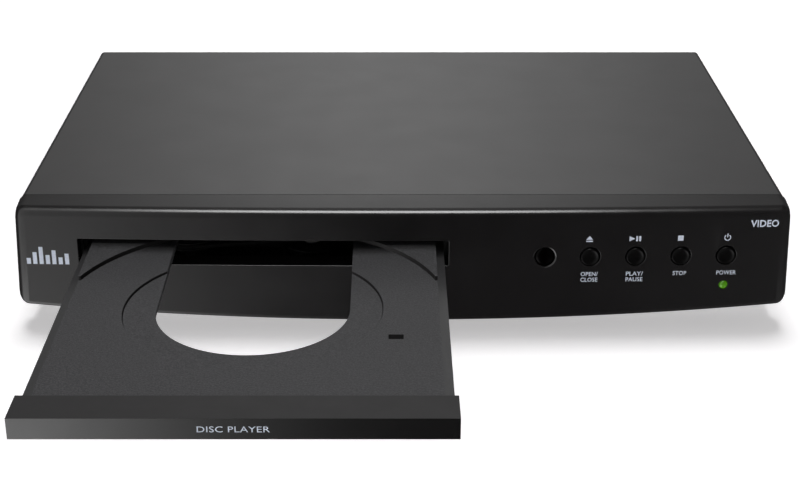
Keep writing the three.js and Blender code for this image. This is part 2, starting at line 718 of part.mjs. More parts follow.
function loaderFrame() {
  const { left, right, front, back, bottom, deck, top } = LOADER;
  const wall = 2;
  const plate = block(left, right, front, back, bottom, deck);
  const opening = block(TRAY_X - DECK.half - 1.7, TRAY_X + DECK.half + 1.7, 46.5, 141, 0, 40);
  const walls = [
    block(left, left + wall, front, back, bottom, top),
    block(right - wall, right, front, back, bottom, top),
    block(left, right, back - wall, back, bottom, 26),
  ];
  const hooks = [];
  for (const y of [14, 60, 118]) {
    hooks.push(block(left, left + 5, y, y + 9, 30.6, 32.2));
    hooks.push(block(right - 5, right, y, y + 9, 30.6, 32.2));
    hooks.push(block(left, left + 4.2, y, y + 9, 25.2, 26.8));
    hooks.push(block(right - 4.2, right, y, y + 9, 25.2, 26.8));
  }
  const posts = [DRIVE_X, PULLEY_X].map((x) => join(
    roundZ(x, DRIVE_Y, bottom, 23, 3.4, 14),
    roundZ(x, DRIVE_Y, bottom, 28.4, 1.9, 14),
  ));
  const earX = [TRAY_X - 32, TRAY_X + 29];
  const ears = earX.map((x) => block(x, x + 3, PIVOT_Y - 5, PIVOT_Y + 5, bottom, 24));
  const earHole = roundX(PIVOT_Y, PIVOT_Z, TRAY_X - 40, TRAY_X + 40, 2.1, 16);
  const camGuides = [
    block(-84, -11, 38.2, 39.8, bottom, 17),
    block(-84, -66, 45, 46.5, bottom, 17),
    block(-29, -11, 45, 46.5, bottom, 17),
  ];
  return cut(join(cut(plate, opening), walls, hooks, posts, ears, camGuides), earHole);
}

// Turns a point or a solid of the raised traverse down about its back pivot to its resting place.
function lowered(piece) {
  return piece
    .translate([0, -PIVOT_Y, -PIVOT_Z])
    .rotate([THREE.MathUtils.radToDeg(TILT), 0, 0])
    .translate([0, PIVOT_Y, PIVOT_Z]);
}

// The sliding cam: its slanted slot carries the traverse's front pin up as it moves to the right.
function camSlider() {
  const reach = PIVOT_Y - PIN_Y;
  const pinDrop = reach * Math.sin(TILT) - (PIN_Z - PIVOT_Z) * (Math.cos(TILT) - 1);
  const [lowX, highX] = [TRAY_X, TRAY_X - CAM_TRAVEL];
  const [lowZ, highZ] = [PIN_Z - pinDrop, PIN_Z];
  const body = block(-78, -30, 40.4, 44.4, LOADER.deck + GAP, 27.4);
  const slope = Math.atan2(highZ - lowZ, highX - lowX);
  const half = 1.75;
  const shape = new THREE.Shape();
  shape.absarc(lowX, lowZ, half, slope + Math.PI / 2, slope + Math.PI * 1.5, false);
  shape.absarc(highX, highZ, half, slope - Math.PI / 2, slope + Math.PI / 2, false);
  return cut(body, extrudedY(shape, 30, 50, 8));
}

place('loader_frame', 'blackPlastic', loaderFrame());
place('cam_slider', 'whitePlastic', camSlider());

// ---------------------------------------------------------------- traverse

function traverseDeck() {
  const { bottom, top, half, front } = DECK;
  const narrow = 28;
  const plate = join(
    block(TRAY_X - half, TRAY_X + half, front, 138, bottom, top),
    block(TRAY_X - narrow, TRAY_X + narrow, 130, PIVOT_Y + 3, bottom, top),
  );
  const window = block(TRAY_X - 15, TRAY_X + 15, 84, 134, 0, 40);
  const bracket = block(TRAY_X - 5, TRAY_X + 5, 46, front + 2, bottom + 1.4, PIN_Z + 1.6);
  const pin = roundY(TRAY_X, PIN_Z, 40.9, 47, 1.2, 14);
  const axle = roundX(PIVOT_Y, PIVOT_Z, TRAY_X - 33.5, TRAY_X + 33.5, 1.6, 14);
  const axleBlock = block(TRAY_X - narrow, TRAY_X + narrow, PIVOT_Y - 2.4, PIVOT_Y + 2.4, PIVOT_Z - 2, bottom + 0.5);
  const holders = [];
  for (const offset of [-ROD_OFFSET, ROD_OFFSET]) {
    for (const y of [81, 138]) {
      const holder = block(TRAY_X + offset - 3, TRAY_X + offset + 3, y, y + 3.4, bottom, ROD_Z + 2.6);
      holders.push(cut(holder, roundY(TRAY_X + offset, ROD_Z, y - 1, y + 5, 1.8, 12)));
    }
  }
  const screwHolder = block(TRAY_X + SCREW_OFFSET - 3, TRAY_X + half, 134.6, 138, bottom, SCREW_Z - 2);
  return lowered(cut(join(plate, bracket, pin, axle, axleBlock, holders, screwHolder), window));
}

function spindleMotor() {
  const can = roundZ(TRAY_X, SPINDLE_Y, DECK.top + GAP, 28.4, 11, 28);
  return lowered(join(can, roundZ(TRAY_X, SPINDLE_Y, 28, 29.2, 3, 14)));
}

// The disc's seat with the centring boss that fills the disc's 15 mm hole.
function turntable() {
  return lowered(turnedZ(TRAY_X, SPINDLE_Y, [
    [0, 29.6], [5, 29.6], [5, 30.9], [14.6, 30.9], [14.6, 32.9], [7.4, 32.9], [7.3, 33.9], [6, 34.6], [0, 34.6],
  ], 24));
}

function sledRod(offset) {
  return lowered(roundY(TRAY_X + offset, ROD_Z, 80.6, 141.8, 1.5, 12));
}

function pickupBody() {
  const body = block(TRAY_X - 24, TRAY_X + 24, PICKUP_Y - 9, PICKUP_Y + 9, DECK.top + 0.6, 28);
  const turret = block(TRAY_X - 12, TRAY_X + 12, PICKUP_Y - 8, PICKUP_Y + 8, 27, 29.8);
  const nut = block(TRAY_X + 20, TRAY_X + SCREW_OFFSET - 2, PICKUP_Y - 5, PICKUP_Y + 5, SCREW_Z - 1, SCREW_Z + 1);
  const rodHoles = [-ROD_OFFSET, ROD_OFFSET].map((offset) => (
    roundY(TRAY_X + offset, ROD_Z, PICKUP_Y - 20, PICKUP_Y + 20, 1.9, 14)));
  const lensWell = roundZ(TRAY_X, PICKUP_Y, 28.2, 40, 4.8, 20);
  return lowered(cut(join(body, turret, nut), rodHoles, lensWell));
}

function objectiveLens() {
  return lowered(turnedZ(TRAY_X, PICKUP_Y, [
    [0, 28.9], [4, 28.9], [4, 30.4], [2.6, 30.4], [1.6, 30.9], [0, 31.1],
  ], 20));
}

function sledMotor() {
  const x = TRAY_X + SCREW_OFFSET;
  const can = roundY(x, SCREW_Z + 0.2, 62, 80.2, 5, 16);
  const stand = block(x - 3, x + 3, 64, 79, DECK.top + 0.05, SCREW_Z - 2);
  return lowered(cut(join(can, stand), block(x - 9, x + 9, 50, 90, 10, DECK.top + GAP)));
}

// The lead screw that carries the pickup. Its thread is left to the fine model: here it has lands.
function leadScrew() {
  const x = TRAY_X + SCREW_OFFSET;
  const profile = [[0, 81.6]];
  for (let y = 81.6; y < 130; y += 8.8) {
    profile.push([1.2, y], [1.65, y + 2.2], [1.65, y + 6.6]);
  }
  profile.push([1.2, 134.2], [0, 134.2]);
  return lowered(turnedY(x, SCREW_Z, profile, 10));
}

function clampBridge() {
  const { left, right, top } = LOADER;
  const [low, high] = [36, 37.6];
  const beam = block(left, right, SPINDLE_Y - 12, SPINDLE_Y + 12, low, high);
  const collar = roundZ(TRAY_X, SPINDLE_Y, low, high, 17, 32);
  const legs = [
    block(left, left + 2, SPINDLE_Y - 12, SPINDLE_Y + 12, top, high),
    block(right - 2, right, SPINDLE_Y - 12, SPINDLE_Y + 12, top, high),
  ];
  const ribs = [-9, 9].map((dy) => block(left, right, SPINDLE_Y + dy - 0.8, SPINDLE_Y + dy + 0.8, high - 0.2, 39.4));
  const well = roundZ(TRAY_X, SPINDLE_Y, high, 45, 14, 28);
  return cut(join(beam, collar, legs, ribs), well, roundZ(TRAY_X, SPINDLE_Y, 30, 45, 10, 28));
}

// The magnetic puck that presses the disc on the turntable. It hangs loose in the bridge's hole.
function clamper() {
  return turnedZ(TRAY_X, SPINDLE_Y, [
    [0, 35.9], [9, 35.9], [9, 34.4], [14, 34.4], [14, 35.6], [8.6, 35.6],
    [8.6, 38], [12.6, 38], [12.6, 39.4], [0, 39.4],
  ], 20);
}

place('traverse_deck', 'blackPlastic', traverseDeck());
place('spindle_motor', 'zincSteel', spindleMotor());
place('turntable', 'blackPlastic', turntable());
place('sled_rod_left', 'chrome', sledRod(-ROD_OFFSET));
place('sled_rod_right', 'chrome', sledRod(ROD_OFFSET));
place('pickup_body', 'greyPlastic', pickupBody());
place('objective_lens', 'lensGlass', objectiveLens());
place('sled_motor', 'zincSteel', sledMotor());
place('lead_screw', 'blackPlastic', leadScrew());
place('clamp_bridge', 'zincSteel', clampBridge());
place('clamper', 'whitePlastic', clamper());

// ---------------------------------------------------------------- boards and connectors

function board({ left, right, front, back }) {
  const plate = block(left, right, front, back, BOARD_BOTTOM, BOARD_TOP);
  const holes = [];
  for (const x of [left + 5, right - 5]) {
    for (const y of [front + 5, back - 12]) {
      holes.push(roundZ(x, y, 10, 20, 1.6, 10));
    }
  }
  return cut(plate, holes);
}

// A cooler with upright fins that stands on the decoder chip.
function decoderHeatSink() {
  const base = block(44, 66, 112, 134, 18, 20.5);
  const chip = block(47, 63, 115, 131, BOARD_TOP, 18.2);
  const fins = [];
  for (let i = 0; i < 6; i += 1) {
    fins.push(block(44 + 4.1 * i, 45.5 + 4.1 * i, 112, 134, 20, 28));
  }
  return join(base, chip, fins);
}

function videoSocket() {
  const { x } = VIDEO;
  const [low, high] = [16.4, 23.4];
  const body = block(x - 7.6, x + 7.6, 163, REAR_PANEL_Y + 1.4, BOARD_TOP, high);
  const mouth = polygon([
    [x - 6.9, high - 0.8], [x + 6.9, high - 0.8], [x + 6.9, low + 1.6],
    [x + 5.4, low + 0.6], [x - 5.4, low + 0.6], [x - 6.9, low + 1.6],
  ]);
  const tongue = block(x - 5.6, x + 5.6, 165, REAR_PANEL_Y + 0.6, 19.4, 20.6);
  return join(cut(body, extrudedY(mouth, 166, 180)), tongue);
}

// Four phono jacks in one moulding. Each is a tube with a free-standing pin socket inside.
function jackBlock() {
  const body = block(50, 81, 163.5, REAR_PANEL_Y - 0.3, BOARD_TOP, 41);
  const barrels = [];
  const bores = [];
  for (const x of JACK_COLUMNS) {
    for (const z of JACK_ROWS) {
      barrels.push(roundY(x, z, 170, REAR_PANEL_Y + 9.5, JACK_RADIUS, 16));
      bores.push(cut(roundY(x, z, 172, 200, 3.3, 14), roundY(x, z, 171, 183, 1.9, 8)));
    }
  }
  return cut(join(body, barrels), bores);
}

// The two-pin mains inlet, with a mouth shaped like a figure of eight.
function mainsInlet() {
  const { x, z, halfWidth, halfHeight } = INLET;
  const body = block(x - halfWidth, x + halfWidth, 158, REAR_PANEL_Y + 2.4, BOARD_TOP, z + halfHeight);
  const mouth = join(
    roundY(x - 4.3, z, 163, 190, 4.3, 20),
    roundY(x + 4.3, z, 163, 190, 4.3, 20),
    block(x - 4.3, x + 4.3, 163, 190, z - 3.2, z + 3.2),
  );
  const pins = [-4.3, 4.3].map((dx) => roundY(x + dx, z, 162, REAR_PANEL_Y - 1, 1.2, 12));
  return join(cut(body, mouth), pins);
}

function transformer() {
  const core = block(95, 120, 96, 116, BOARD_TOP + 1.5, 36);
  const bobbin = block(99, 116, 93, 119, BOARD_TOP, 33);
  return join(core, bobbin);
}

function standingCapacitor(x, y, radius, height) {
  const top = BOARD_TOP + height;
  return turnedZ(x, y, [
    [0, BOARD_TOP], [radius, BOARD_TOP], [radius - 0.4, BOARD_TOP + 1.6],
    [radius, BOARD_TOP + 2.6], [radius, top - 0.6], [radius - 0.6, top], [0, top],
  ], 16);
}

function powerHeatSink() {
  const spine = block(91, 93, 70, 88, BOARD_TOP, 38);
  const fins = [];
  for (let i = 0; i < 4; i += 1) {
    fins.push(block(92, 100, 70 + 5.4 * i, 71.8 + 5.4 * i, BOARD_TOP, 38));
  }
  return join(spine, fins);
}

function fuse() {
  const tube = roundX(146, 19.4, 92, 110, 2, 12);
  const caps = [roundX(146, 19.4, 91.6, 96, 2.6, 14), roundX(146, 19.4, 106, 110.4, 2.6, 14)];
  const clips = [block(92.6, 95, 144.4, 147.6, BOARD_TOP, 19), block(107, 109.4, 144.4, 147.6, BOARD_TOP, 19)];
  return join(tube, caps, clips);
}

function lineFilter() {
  const core = block(114, 124, 134, 150, BOARD_TOP, 30);
  const window = block(117, 121, 138, 146, 20, 40);
  return join(cut(core, window), block(115.5, 122.5, 141, 143, 17, 28));
}

// The flat ribbon that drops from the key board and runs back to the main board.
function keyRibbon() {
  const [left, right] = [66, 76];
  const outline = polygon([
    [KEY_BOARD_Y + 1.6, 20], [24, 20], [28, 13], [70, 13], [76, 18.6], [86, 18.6],
    [86, 19.2], [75.6, 19.2], [69.6, 13.6], [28.4, 13.6], [24.4, 20.6], [KEY_BOARD_Y + 1.6, 20.6],
  ]);
  const geometry = new THREE.ExtrudeGeometry(outline, { depth: right - left, bevelEnabled: false });
  geometry.applyMatrix4(new THREE.Matrix4().set(0, 0, 1, left, 1, 0, 0, 0, 0, 1, 0, 0, 0, 0, 0, 1));
  return join(solid(geometry), block(left - 1.5, right + 1.5, 84, 90, BOARD_TOP, 21.4));
}

place('main_board', 'greenBoard', board(MAIN_BOARD));
place('decoder_heat_sink', 'aluminium', decoderHeatSink());
place('memory_chip', 'blackPlastic', block(69, 80, 112, 134, BOARD_TOP, 16.8));
place('board_capacitor', 'capacitorSleeve', standingCapacitor(38, 98, 4, 12));
place('crystal', 'chrome', block(35, 40, 118, 129, BOARD_TOP, 19));
place('video_socket', 'chrome', videoSocket());
place('jack_block', 'blackPlastic', jackBlock());
place('power_board', 'paleBoard', board(POWER_BOARD));
place('mains_inlet', 'blackPlastic', mainsInlet());
place('transformer', 'coilTape', transformer());
place('mains_capacitor', 'capacitorSleeve', standingCapacitor(103, 129, 7.5, 22));
place('output_capacitor_1', 'capacitorSleeve', standingCapacitor(108, 71, 5, 16));
place('output_capacitor_2', 'capacitorSleeve', standingCapacitor(119, 80, 5, 16));
place('power_heat_sink', 'aluminium', powerHeatSink());
place('fuse', 'chrome', fuse());
place('line_filter', 'coilTape', lineFilter());
place('key_ribbon', 'whitePlastic', keyRibbon());

// ---------------------------------------------------------------- origin

// The origin goes under the middle of the whole player's bounding box.
player.updateMatrixWorld(true);
const extent = new THREE.Box3().setFromObject(player);
const middle = extent.getCenter(new THREE.Vector3());
player.children.forEach((node) => node.geometry.translate(-middle.x, -middle.y, -extent.min.z));

export default player;
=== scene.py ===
"""Fine surfaces, materials, light and camera for a compact disc player with its tray open.

Shapes are drawn in millimetres in the player's drawing frame, where y = 0 is the plane of the
fascia's front at its two ends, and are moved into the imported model's frame as they are made.
"""
import json
import math

import bmesh
import bpy
from mathutils import Matrix, Vector


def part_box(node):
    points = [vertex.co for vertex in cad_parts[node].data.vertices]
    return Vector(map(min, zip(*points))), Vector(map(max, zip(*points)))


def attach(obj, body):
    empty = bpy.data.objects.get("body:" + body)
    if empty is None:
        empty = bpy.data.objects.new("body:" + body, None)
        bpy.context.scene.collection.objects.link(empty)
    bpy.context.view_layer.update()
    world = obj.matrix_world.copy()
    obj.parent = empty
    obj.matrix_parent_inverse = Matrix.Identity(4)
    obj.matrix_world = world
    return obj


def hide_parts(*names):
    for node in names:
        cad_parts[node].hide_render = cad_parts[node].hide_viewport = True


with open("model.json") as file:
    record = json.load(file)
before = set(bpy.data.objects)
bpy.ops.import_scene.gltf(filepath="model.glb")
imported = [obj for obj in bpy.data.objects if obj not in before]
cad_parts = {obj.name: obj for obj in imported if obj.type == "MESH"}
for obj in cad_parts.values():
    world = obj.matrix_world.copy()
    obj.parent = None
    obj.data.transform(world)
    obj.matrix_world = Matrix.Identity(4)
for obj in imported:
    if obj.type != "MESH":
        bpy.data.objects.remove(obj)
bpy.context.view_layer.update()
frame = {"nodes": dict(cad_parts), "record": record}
NODES = frame["nodes"]

# ---------------------------------------------------------------- driving sizes, in millimetres

MM = 0.001
CASE_TOP = 46.0
CASE_BACK = 176.5
SEAM_Y = 10.4
SHEET = 0.8
HALF_WIDTH = 131.0
COVER_BOTTOM = 9.8
REAR_PANEL_Y = 174.6
CHASSIS_BOTTOM = 8.6

FASCIA_HALF = 131.8
FASCIA_WALL = 2.4
BOW = 2.8
FASCIA_BOTTOM_END = 9.3
FASCIA_BOTTOM_SAG = 5.2
LIP_SLOPE = 0.6
FRONT_CORNER = 4.0
SIDE_DRAFT = 0.0003
SLOT = (-110.6, 15.6, 25.2, 34.4)

KEY_Z = 28.3
KEY_X = {"open_close": 63.8, "play_pause": 79.3, "stop": 94.8, "power": 110.3}
WINDOW_X = 48.3
LIGHT_Z = 17.1
SWITCH_FRONT = 9.4
KEY_BOARD_Y = 13.4

TRAY_X = -47.3
TRAY_HALF = 61.2
TRAY_FRONT = -107.0
TRAY_BACK = 37.0
TRAY_TRAVEL = 116.5
FLOOR_TOP = 31.25
FLOOR_BOTTOM = 28.9
CORNER_TOP = 32.75
RAIL_TOP = 30.05
RAIL_WIDTH = 2.8
DISC_Y = -47.2
DISC_SEAT_RADIUS = 61.0
HOLE_RADIUS = 30.4
PANEL = (-109.5, 14.9, -118.77, -105.9, 26.1, 32.7)

RACK_PITCH_X = -100.2
DRIVE_Y = 24.0

# The drawing frame's y = 0 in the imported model's frame, in metres.
FRONT_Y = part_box("top_cover")[1][1] - CASE_BACK * MM
TO_MODEL = Matrix.Translation((0, FRONT_Y, 0)) @ Matrix.Scale(MM, 4)


def metres(x, y, z):
    """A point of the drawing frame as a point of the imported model's frame."""
    return TO_MODEL @ Vector((x, y, z))


# ---------------------------------------------------------------- mesh building

def mesh_of(bm):
    """Turns a bmesh in millimetres into a mesh with outward faces."""
    bmesh.ops.recalc_face_normals(bm, faces=bm.faces)
    mesh = bpy.data.meshes.new("shape")
    bm.to_mesh(mesh)
    bm.free()
    return mesh


def loft(rings):
    """A closed skin through rings of points, with a flat cap on the first and last ring."""
    bm = bmesh.new()
    made = [[bm.verts.new(p) for p in ring] for ring in rings]
    count = len(made[0])
    for a, b in zip(made, made[1:]):
        for i in range(count):
            j = (i + 1) % count
            bm.faces.new((a[i], a[j], b[j], b[i]))
    bm.faces.new(list(reversed(made[0])))
    bm.faces.new(made[-1])
    return mesh_of(bm)


def block(x0, x1, y0, y1, z0, z1):
    corners = [(x0, y0), (x1, y0), (x1, y1), (x0, y1)]
    return loft([[(x, y, z) for x, y in corners] for z in (z0, z1)])


AXES = {"X": (1, 2, 0), "Y": (2, 0, 1), "Z": (0, 1, 2)}


def along(axis, u, v, w):
    """A point with w along the axis, and u and v along the two axes that follow it in turn."""
    point = [0.0, 0.0, 0.0]
    first, second, third = AXES[axis]
    point[first], point[second], point[third] = u, v, w
    return tuple(point)


def prism(axis, outline, low, high):
    """An outline of (u, v) points, drawn out along an axis."""
    return loft([[along(axis, u, v, w) for u, v in outline] for w in (low, high)])


def circle(u, v, radius, sides=64):
    angles = [2 * math.pi * i / sides for i in range(sides)]
    return [(u + radius * math.cos(a), v + radius * math.sin(a)) for a in angles]


def lathe(axis, u, v, profile, sides=64):
    """A turned piece: profile is a list of (radius, distance along the axis), open at both ends."""
    rings = [[along(axis, p, q, w) for p, q in circle(u, v, max(r, 0.01), sides)]
             for r, w in profile]
    return loft(rings)


def arc(u, v, radius, start, end, steps):
    turns = [math.radians(start + (end - start) * i / steps) for i in range(steps + 1)]
    return [(u + radius * math.cos(a), v + radius * math.sin(a)) for a in turns]


def rounded_outline(u0, u1, v0, v1, radius, steps=6):
    return (arc(u1 - radius, v0 + radius, radius, -90, 0, steps)
            + arc(u1 - radius, v1 - radius, radius, 0, 90, steps)
            + arc(u0 + radius, v1 - radius, radius, 90, 180, steps)
            + arc(u0 + radius, v0 + radius, radius, 180, 270, steps))


def linked(mesh, name="tool"):
    obj = bpy.data.objects.new(name, mesh)
    bpy.context.scene.collection.objects.link(obj)
    return obj


def applied(obj):
    """The object's mesh with its modifiers worked in."""
    bpy.context.view_layer.update()
    evaluated = obj.evaluated_get(bpy.context.evaluated_depsgraph_get())
    mesh = bpy.data.meshes.new_from_object(evaluated)
    old = obj.data
    bpy.data.objects.remove(obj)
    bpy.data.meshes.remove(old)
    return mesh


def combined(mesh, operation, tools):
    """Joins tools to a mesh or cuts them out of it, one after another."""
    whole = linked(mesh)
    others = [linked(tool) for tool in tools]
    for other in others:
        modifier = whole.modifiers.new("combine", "BOOLEAN")
        modifier.operation = operation
        modifier.solver = "EXACT"
        modifier.object = other
    result = applied(whole)
    for other in others:
        data = other.data
        bpy.data.objects.remove(other)
        bpy.data.meshes.remove(data)
    return result


def joined(mesh, *tools):
    return combined(mesh, "UNION", tools)


def carved(mesh, *tools):
    return combined(mesh, "DIFFERENCE", tools)


def eased(mesh, width, segments=2, angle=28.0):
    """Rounds a mesh's edges that are sharper than the angle, and shades the rest smooth."""
    bm = bmesh.new()
    bm.from_mesh(mesh)
    bmesh.ops.remove_doubles(bm, verts=bm.verts, dist=1e-4 * max(1.0, width))
    bmesh.ops.dissolve_limit(bm, angle_limit=math.radians(0.6), verts=bm.verts, edges=bm.edges)
    bm.to_mesh(mesh)
    bm.free()
    obj = linked(mesh)
    modifier = obj.modifiers.new("edges", "BEVEL")
    modifier.width = width
    modifier.segments = segments
    modifier.limit_method = "ANGLE"
    modifier.angle_limit = math.radians(angle)
    modifier.use_clamp_overlap = True
    return weighted(smoothed(applied(obj)))


def weighted(mesh):
    """Keeps large flat faces flat in shading, so that only the rounded edges between them turn."""
    obj = linked(mesh)
    modifier = obj.modifiers.new("normals", "WEIGHTED_NORMAL")
    modifier.mode = "FACE_AREA"
    modifier.weight = 100
    modifier.keep_sharp = True
    return applied(obj)


def smoothed(mesh, angle=32.0):
    mesh.shade_smooth()
    mesh.set_sharp_from_angle(angle=math.radians(angle))
    return mesh


def piece(name, mesh, material, body, replaces=()):
    """Adds a finished mesh in millimetres as a piece that rides on a body."""
    mesh.transform(TO_MODEL)
    mesh.name = name
    return fitted(name, mesh, material, body, replaces)


def fitted(name, mesh, material, body, replaces=()):
    mesh.materials.clear()
    for each in material if isinstance(material, (list, tuple)) else [material]:
        mesh.materials.append(each)
    obj = linked(mesh, name)
    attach(obj, body)
    # The open tray neither shades the floor nor shows in the glossy face.
    if body == "tray":
        obj.visible_shadow = False
        obj.visible_glossy = False
    if replaces:
        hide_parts(*([replaces] if isinstance(replaces, str) else replaces))
    return obj


# ---------------------------------------------------------------- materials

class Look:
    """A Principled material whose colour, roughness and bump come from procedural nodes."""

    def __init__(self, name, **sockets):
        self.material = bpy.data.materials.new(name)
        self.material.use_nodes = True
        self.tree = self.material.node_tree
        self.shader = self.tree.nodes["Principled BSDF"]
        for key, value in sockets.items():
            self.shader.inputs[key.replace("_", " ")].default_value = value
        self.place = self.add("ShaderNodeTexCoord").outputs["Object"]

    def add(self, kind, **settings):
        node = self.tree.nodes.new(kind)
        for key, value in settings.items():
            setattr(node, key, value)
        return node

    def link(self, source, target):
        self.tree.links.new(source, target)

    def noise(self, scale, detail=3.0, roughness=0.55, stretch=(1, 1, 1)):
        mapping = self.add("ShaderNodeMapping")
        mapping.inputs["Scale"].default_value = stretch
        self.link(self.place, mapping.inputs["Vector"])
        node = self.add("ShaderNodeTexNoise")
        node.inputs["Scale"].default_value = scale
        node.inputs["Detail"].default_value = detail
        node.inputs["Roughness"].default_value = roughness
        self.link(mapping.outputs["Vector"], node.inputs["Vector"])
        return node.outputs["Fac"]

    def ramp(self, source, low, high, start=0.3, end=0.7):
        node = self.add("ShaderNodeMapRange")
        node.inputs["From Min"].default_value = start
        node.inputs["From Max"].default_value = end
        node.inputs["To Min"].default_value = low
        node.inputs["To Max"].default_value = high
        self.link(source, node.inputs["Value"])
        return node.outputs["Result"]

    def tint(self, source, dark, light, start=0.3, end=0.7):
        node = self.add("ShaderNodeMix", data_type="RGBA")
        node.inputs["A"].default_value = (*dark, 1)
        node.inputs["B"].default_value = (*light, 1)
        self.link(self.ramp(source, 0.0, 1.0, start, end), node.inputs["Factor"])
        colour = [o for o in node.outputs if o.type == "RGBA"][0]
        self.link(colour, self.shader.inputs["Base Color"])
        return self

    def rough(self, source, low, high):
        self.link(self.ramp(source, low, high), self.shader.inputs["Roughness"])
        return self

    def bump(self, source, depth, strength=1.0):
        node = self.add("ShaderNodeBump")
        node.inputs["Distance"].default_value = depth
        node.inputs["Strength"].default_value = strength
        if self.shader.inputs["Normal"].is_linked:
            self.link(self.shader.inputs["Normal"].links[0].from_socket, node.inputs["Normal"])
        self.link(source, node.inputs["Height"])
        self.link(node.outputs["Normal"], self.shader.inputs["Normal"])
        return self


def cover_paint():
    look = Look("cover_paint", Specular_IOR_Level=0.55, IOR=1.5)
    look.tint(look.noise(26, 2), (0.0285, 0.0276, 0.0278), (0.033, 0.032, 0.0322))
    look.rough(look.noise(60, 3), 0.28, 0.31)
    return look.bump(look.noise(2600, 2), 0.000012, 0.5).material


def fascia_plastic(name="fascia_plastic", shade=1.0, shine=0.5, rough=(0.2, 0.25)):
    look = Look(name, Specular_IOR_Level=shine, IOR=1.5)
    look.tint(look.noise(30, 2), tuple(shade * c for c in (0.0078, 0.0069, 0.0072)),
              tuple(shade * c for c in (0.0096, 0.0084, 0.0088)))
    look.rough(look.noise(90, 4), *rough)
    look.bump(look.noise(2200, 2), 0.000004, 0.4)
    return look.material


def tray_plastic():
    look = Look("tray_plastic", Specular_IOR_Level=0.45, IOR=1.5)
    grain = look.noise(1700, 3, 0.8)
    look.tint(grain, (0.0195, 0.0193, 0.0205), (0.076, 0.0752, 0.08), 0.38, 0.66)
    look.rough(grain, 0.44, 0.64)
    return look.bump(grain, 0.00012, 0.7).material


def tray_rail():
    look = Look("tray_rail", Specular_IOR_Level=0.45, IOR=1.5)
    look.tint(look.noise(600, 2), (0.028, 0.0277, 0.0288), (0.033, 0.0326, 0.0338))
    look.rough(look.noise(300, 3, stretch=(1, 0.1, 1)), 0.34, 0.42)
    return look.bump(look.noise(700, 2, stretch=(1, 0.05, 1)), 0.00001, 0.4).material


def panel_satin_painted_light():
    """The panel's upward side: rougher than its polished front, and coloured lighter as painted
    light from above.
    """
    look = Look("panel_satin_painted_light", Specular_IOR_Level=0.35, IOR=1.5)
    look.tint(look.noise(40, 2), (0.0212, 0.0203, 0.0209), (0.0238, 0.0229, 0.0235))
    look.rough(look.noise(120, 3), 0.46, 0.52)
    return look.bump(look.noise(2200, 2), 0.000006, 0.4).material


def moulded(name, dark, light, rough=(0.5, 0.62), grain=1400, depth=0.00003):
    look = Look(name, Specular_IOR_Level=0.45, IOR=1.5)
    look.tint(look.noise(grain, 3), dark, light)
    look.rough(look.noise(240, 3), *rough)
    return look.bump(look.noise(grain, 3), depth, 0.4).material


def metal(name, dark, light, rough=(0.28, 0.4), stretch=(1, 12, 12), scale=300, depth=0.000004):
    look = Look(name, Metallic=1.0)
    streak = look.noise(scale, 4, stretch=stretch)
    look.tint(streak, dark, light)
    look.rough(streak, *rough)
    return look.bump(streak, depth, 0.3).material


def window_plastic():
    look = Look("window_plastic", Specular_IOR_Level=0.05, IOR=1.45)
    look.tint(look.noise(80, 2), (0.0005, 0.0003, 0.0003), (0.0008, 0.0004, 0.0005))
    return look.rough(look.noise(150, 2), 0.06, 0.12).material


def lit_green():
    look = Look("lit_green", Specular_IOR_Level=0.5, IOR=1.49, Emission_Strength=0.14)
    look.shader.inputs["Emission Color"].default_value = (0.2, 0.75, 0.002, 1)
    look.tint(look.noise(900, 2), (0.03, 0.12, 0.002), (0.09, 0.26, 0.004))
    return look.rough(look.noise(700, 2), 0.16, 0.3).material


def print_ink():
    look = Look("print_ink", Specular_IOR_Level=0.3, IOR=1.5)
    look.tint(look.noise(1500, 2), (0.68, 0.74, 0.86), (0.78, 0.85, 0.96))
    return look.rough(look.noise(900, 2), 0.45, 0.6).material


def rubber():
    look = Look("rubber", Specular_IOR_Level=0.3, IOR=1.5)
    look.tint(look.noise(500, 4), (0.012, 0.012, 0.012), (0.022, 0.022, 0.021))
    look.rough(look.noise(400, 3), 0.72, 0.88)
    return look.bump(look.noise(900, 4), 0.00005, 0.4).material


def circuit_board(name, light, track):
    """A lacquered board: fine weave under the lacquer, with wandering copper tracks."""
    look = Look(name, Specular_IOR_Level=0.5, IOR=1.5)
    weave = look.noise(1600, 2, stretch=(1, 1, 1))
    tracks = look.noise(150, 0.0, stretch=(1, 0.35, 1))
    node = look.add("ShaderNodeMath", operation="PINGPONG")
    look.link(look.ramp(tracks, 0.0, 9.0, 0.2, 0.8), node.inputs[0])
    node.inputs[1].default_value = 0.5
    look.tint(node.outputs[0], track, light, 0.06, 0.12)
    look.rough(weave, 0.3, 0.42)
    return look.bump(node.outputs[0], 0.00003, 0.3).material


def lens_glass():
    look = Look("lens_glass", IOR=1.52, Transmission_Weight=0.55, Coat_Weight=0.6)
    look.tint(look.noise(300, 1), (0.18, 0.26, 0.42), (0.26, 0.34, 0.5))
    return look.rough(look.noise(300, 1), 0.03, 0.06).material


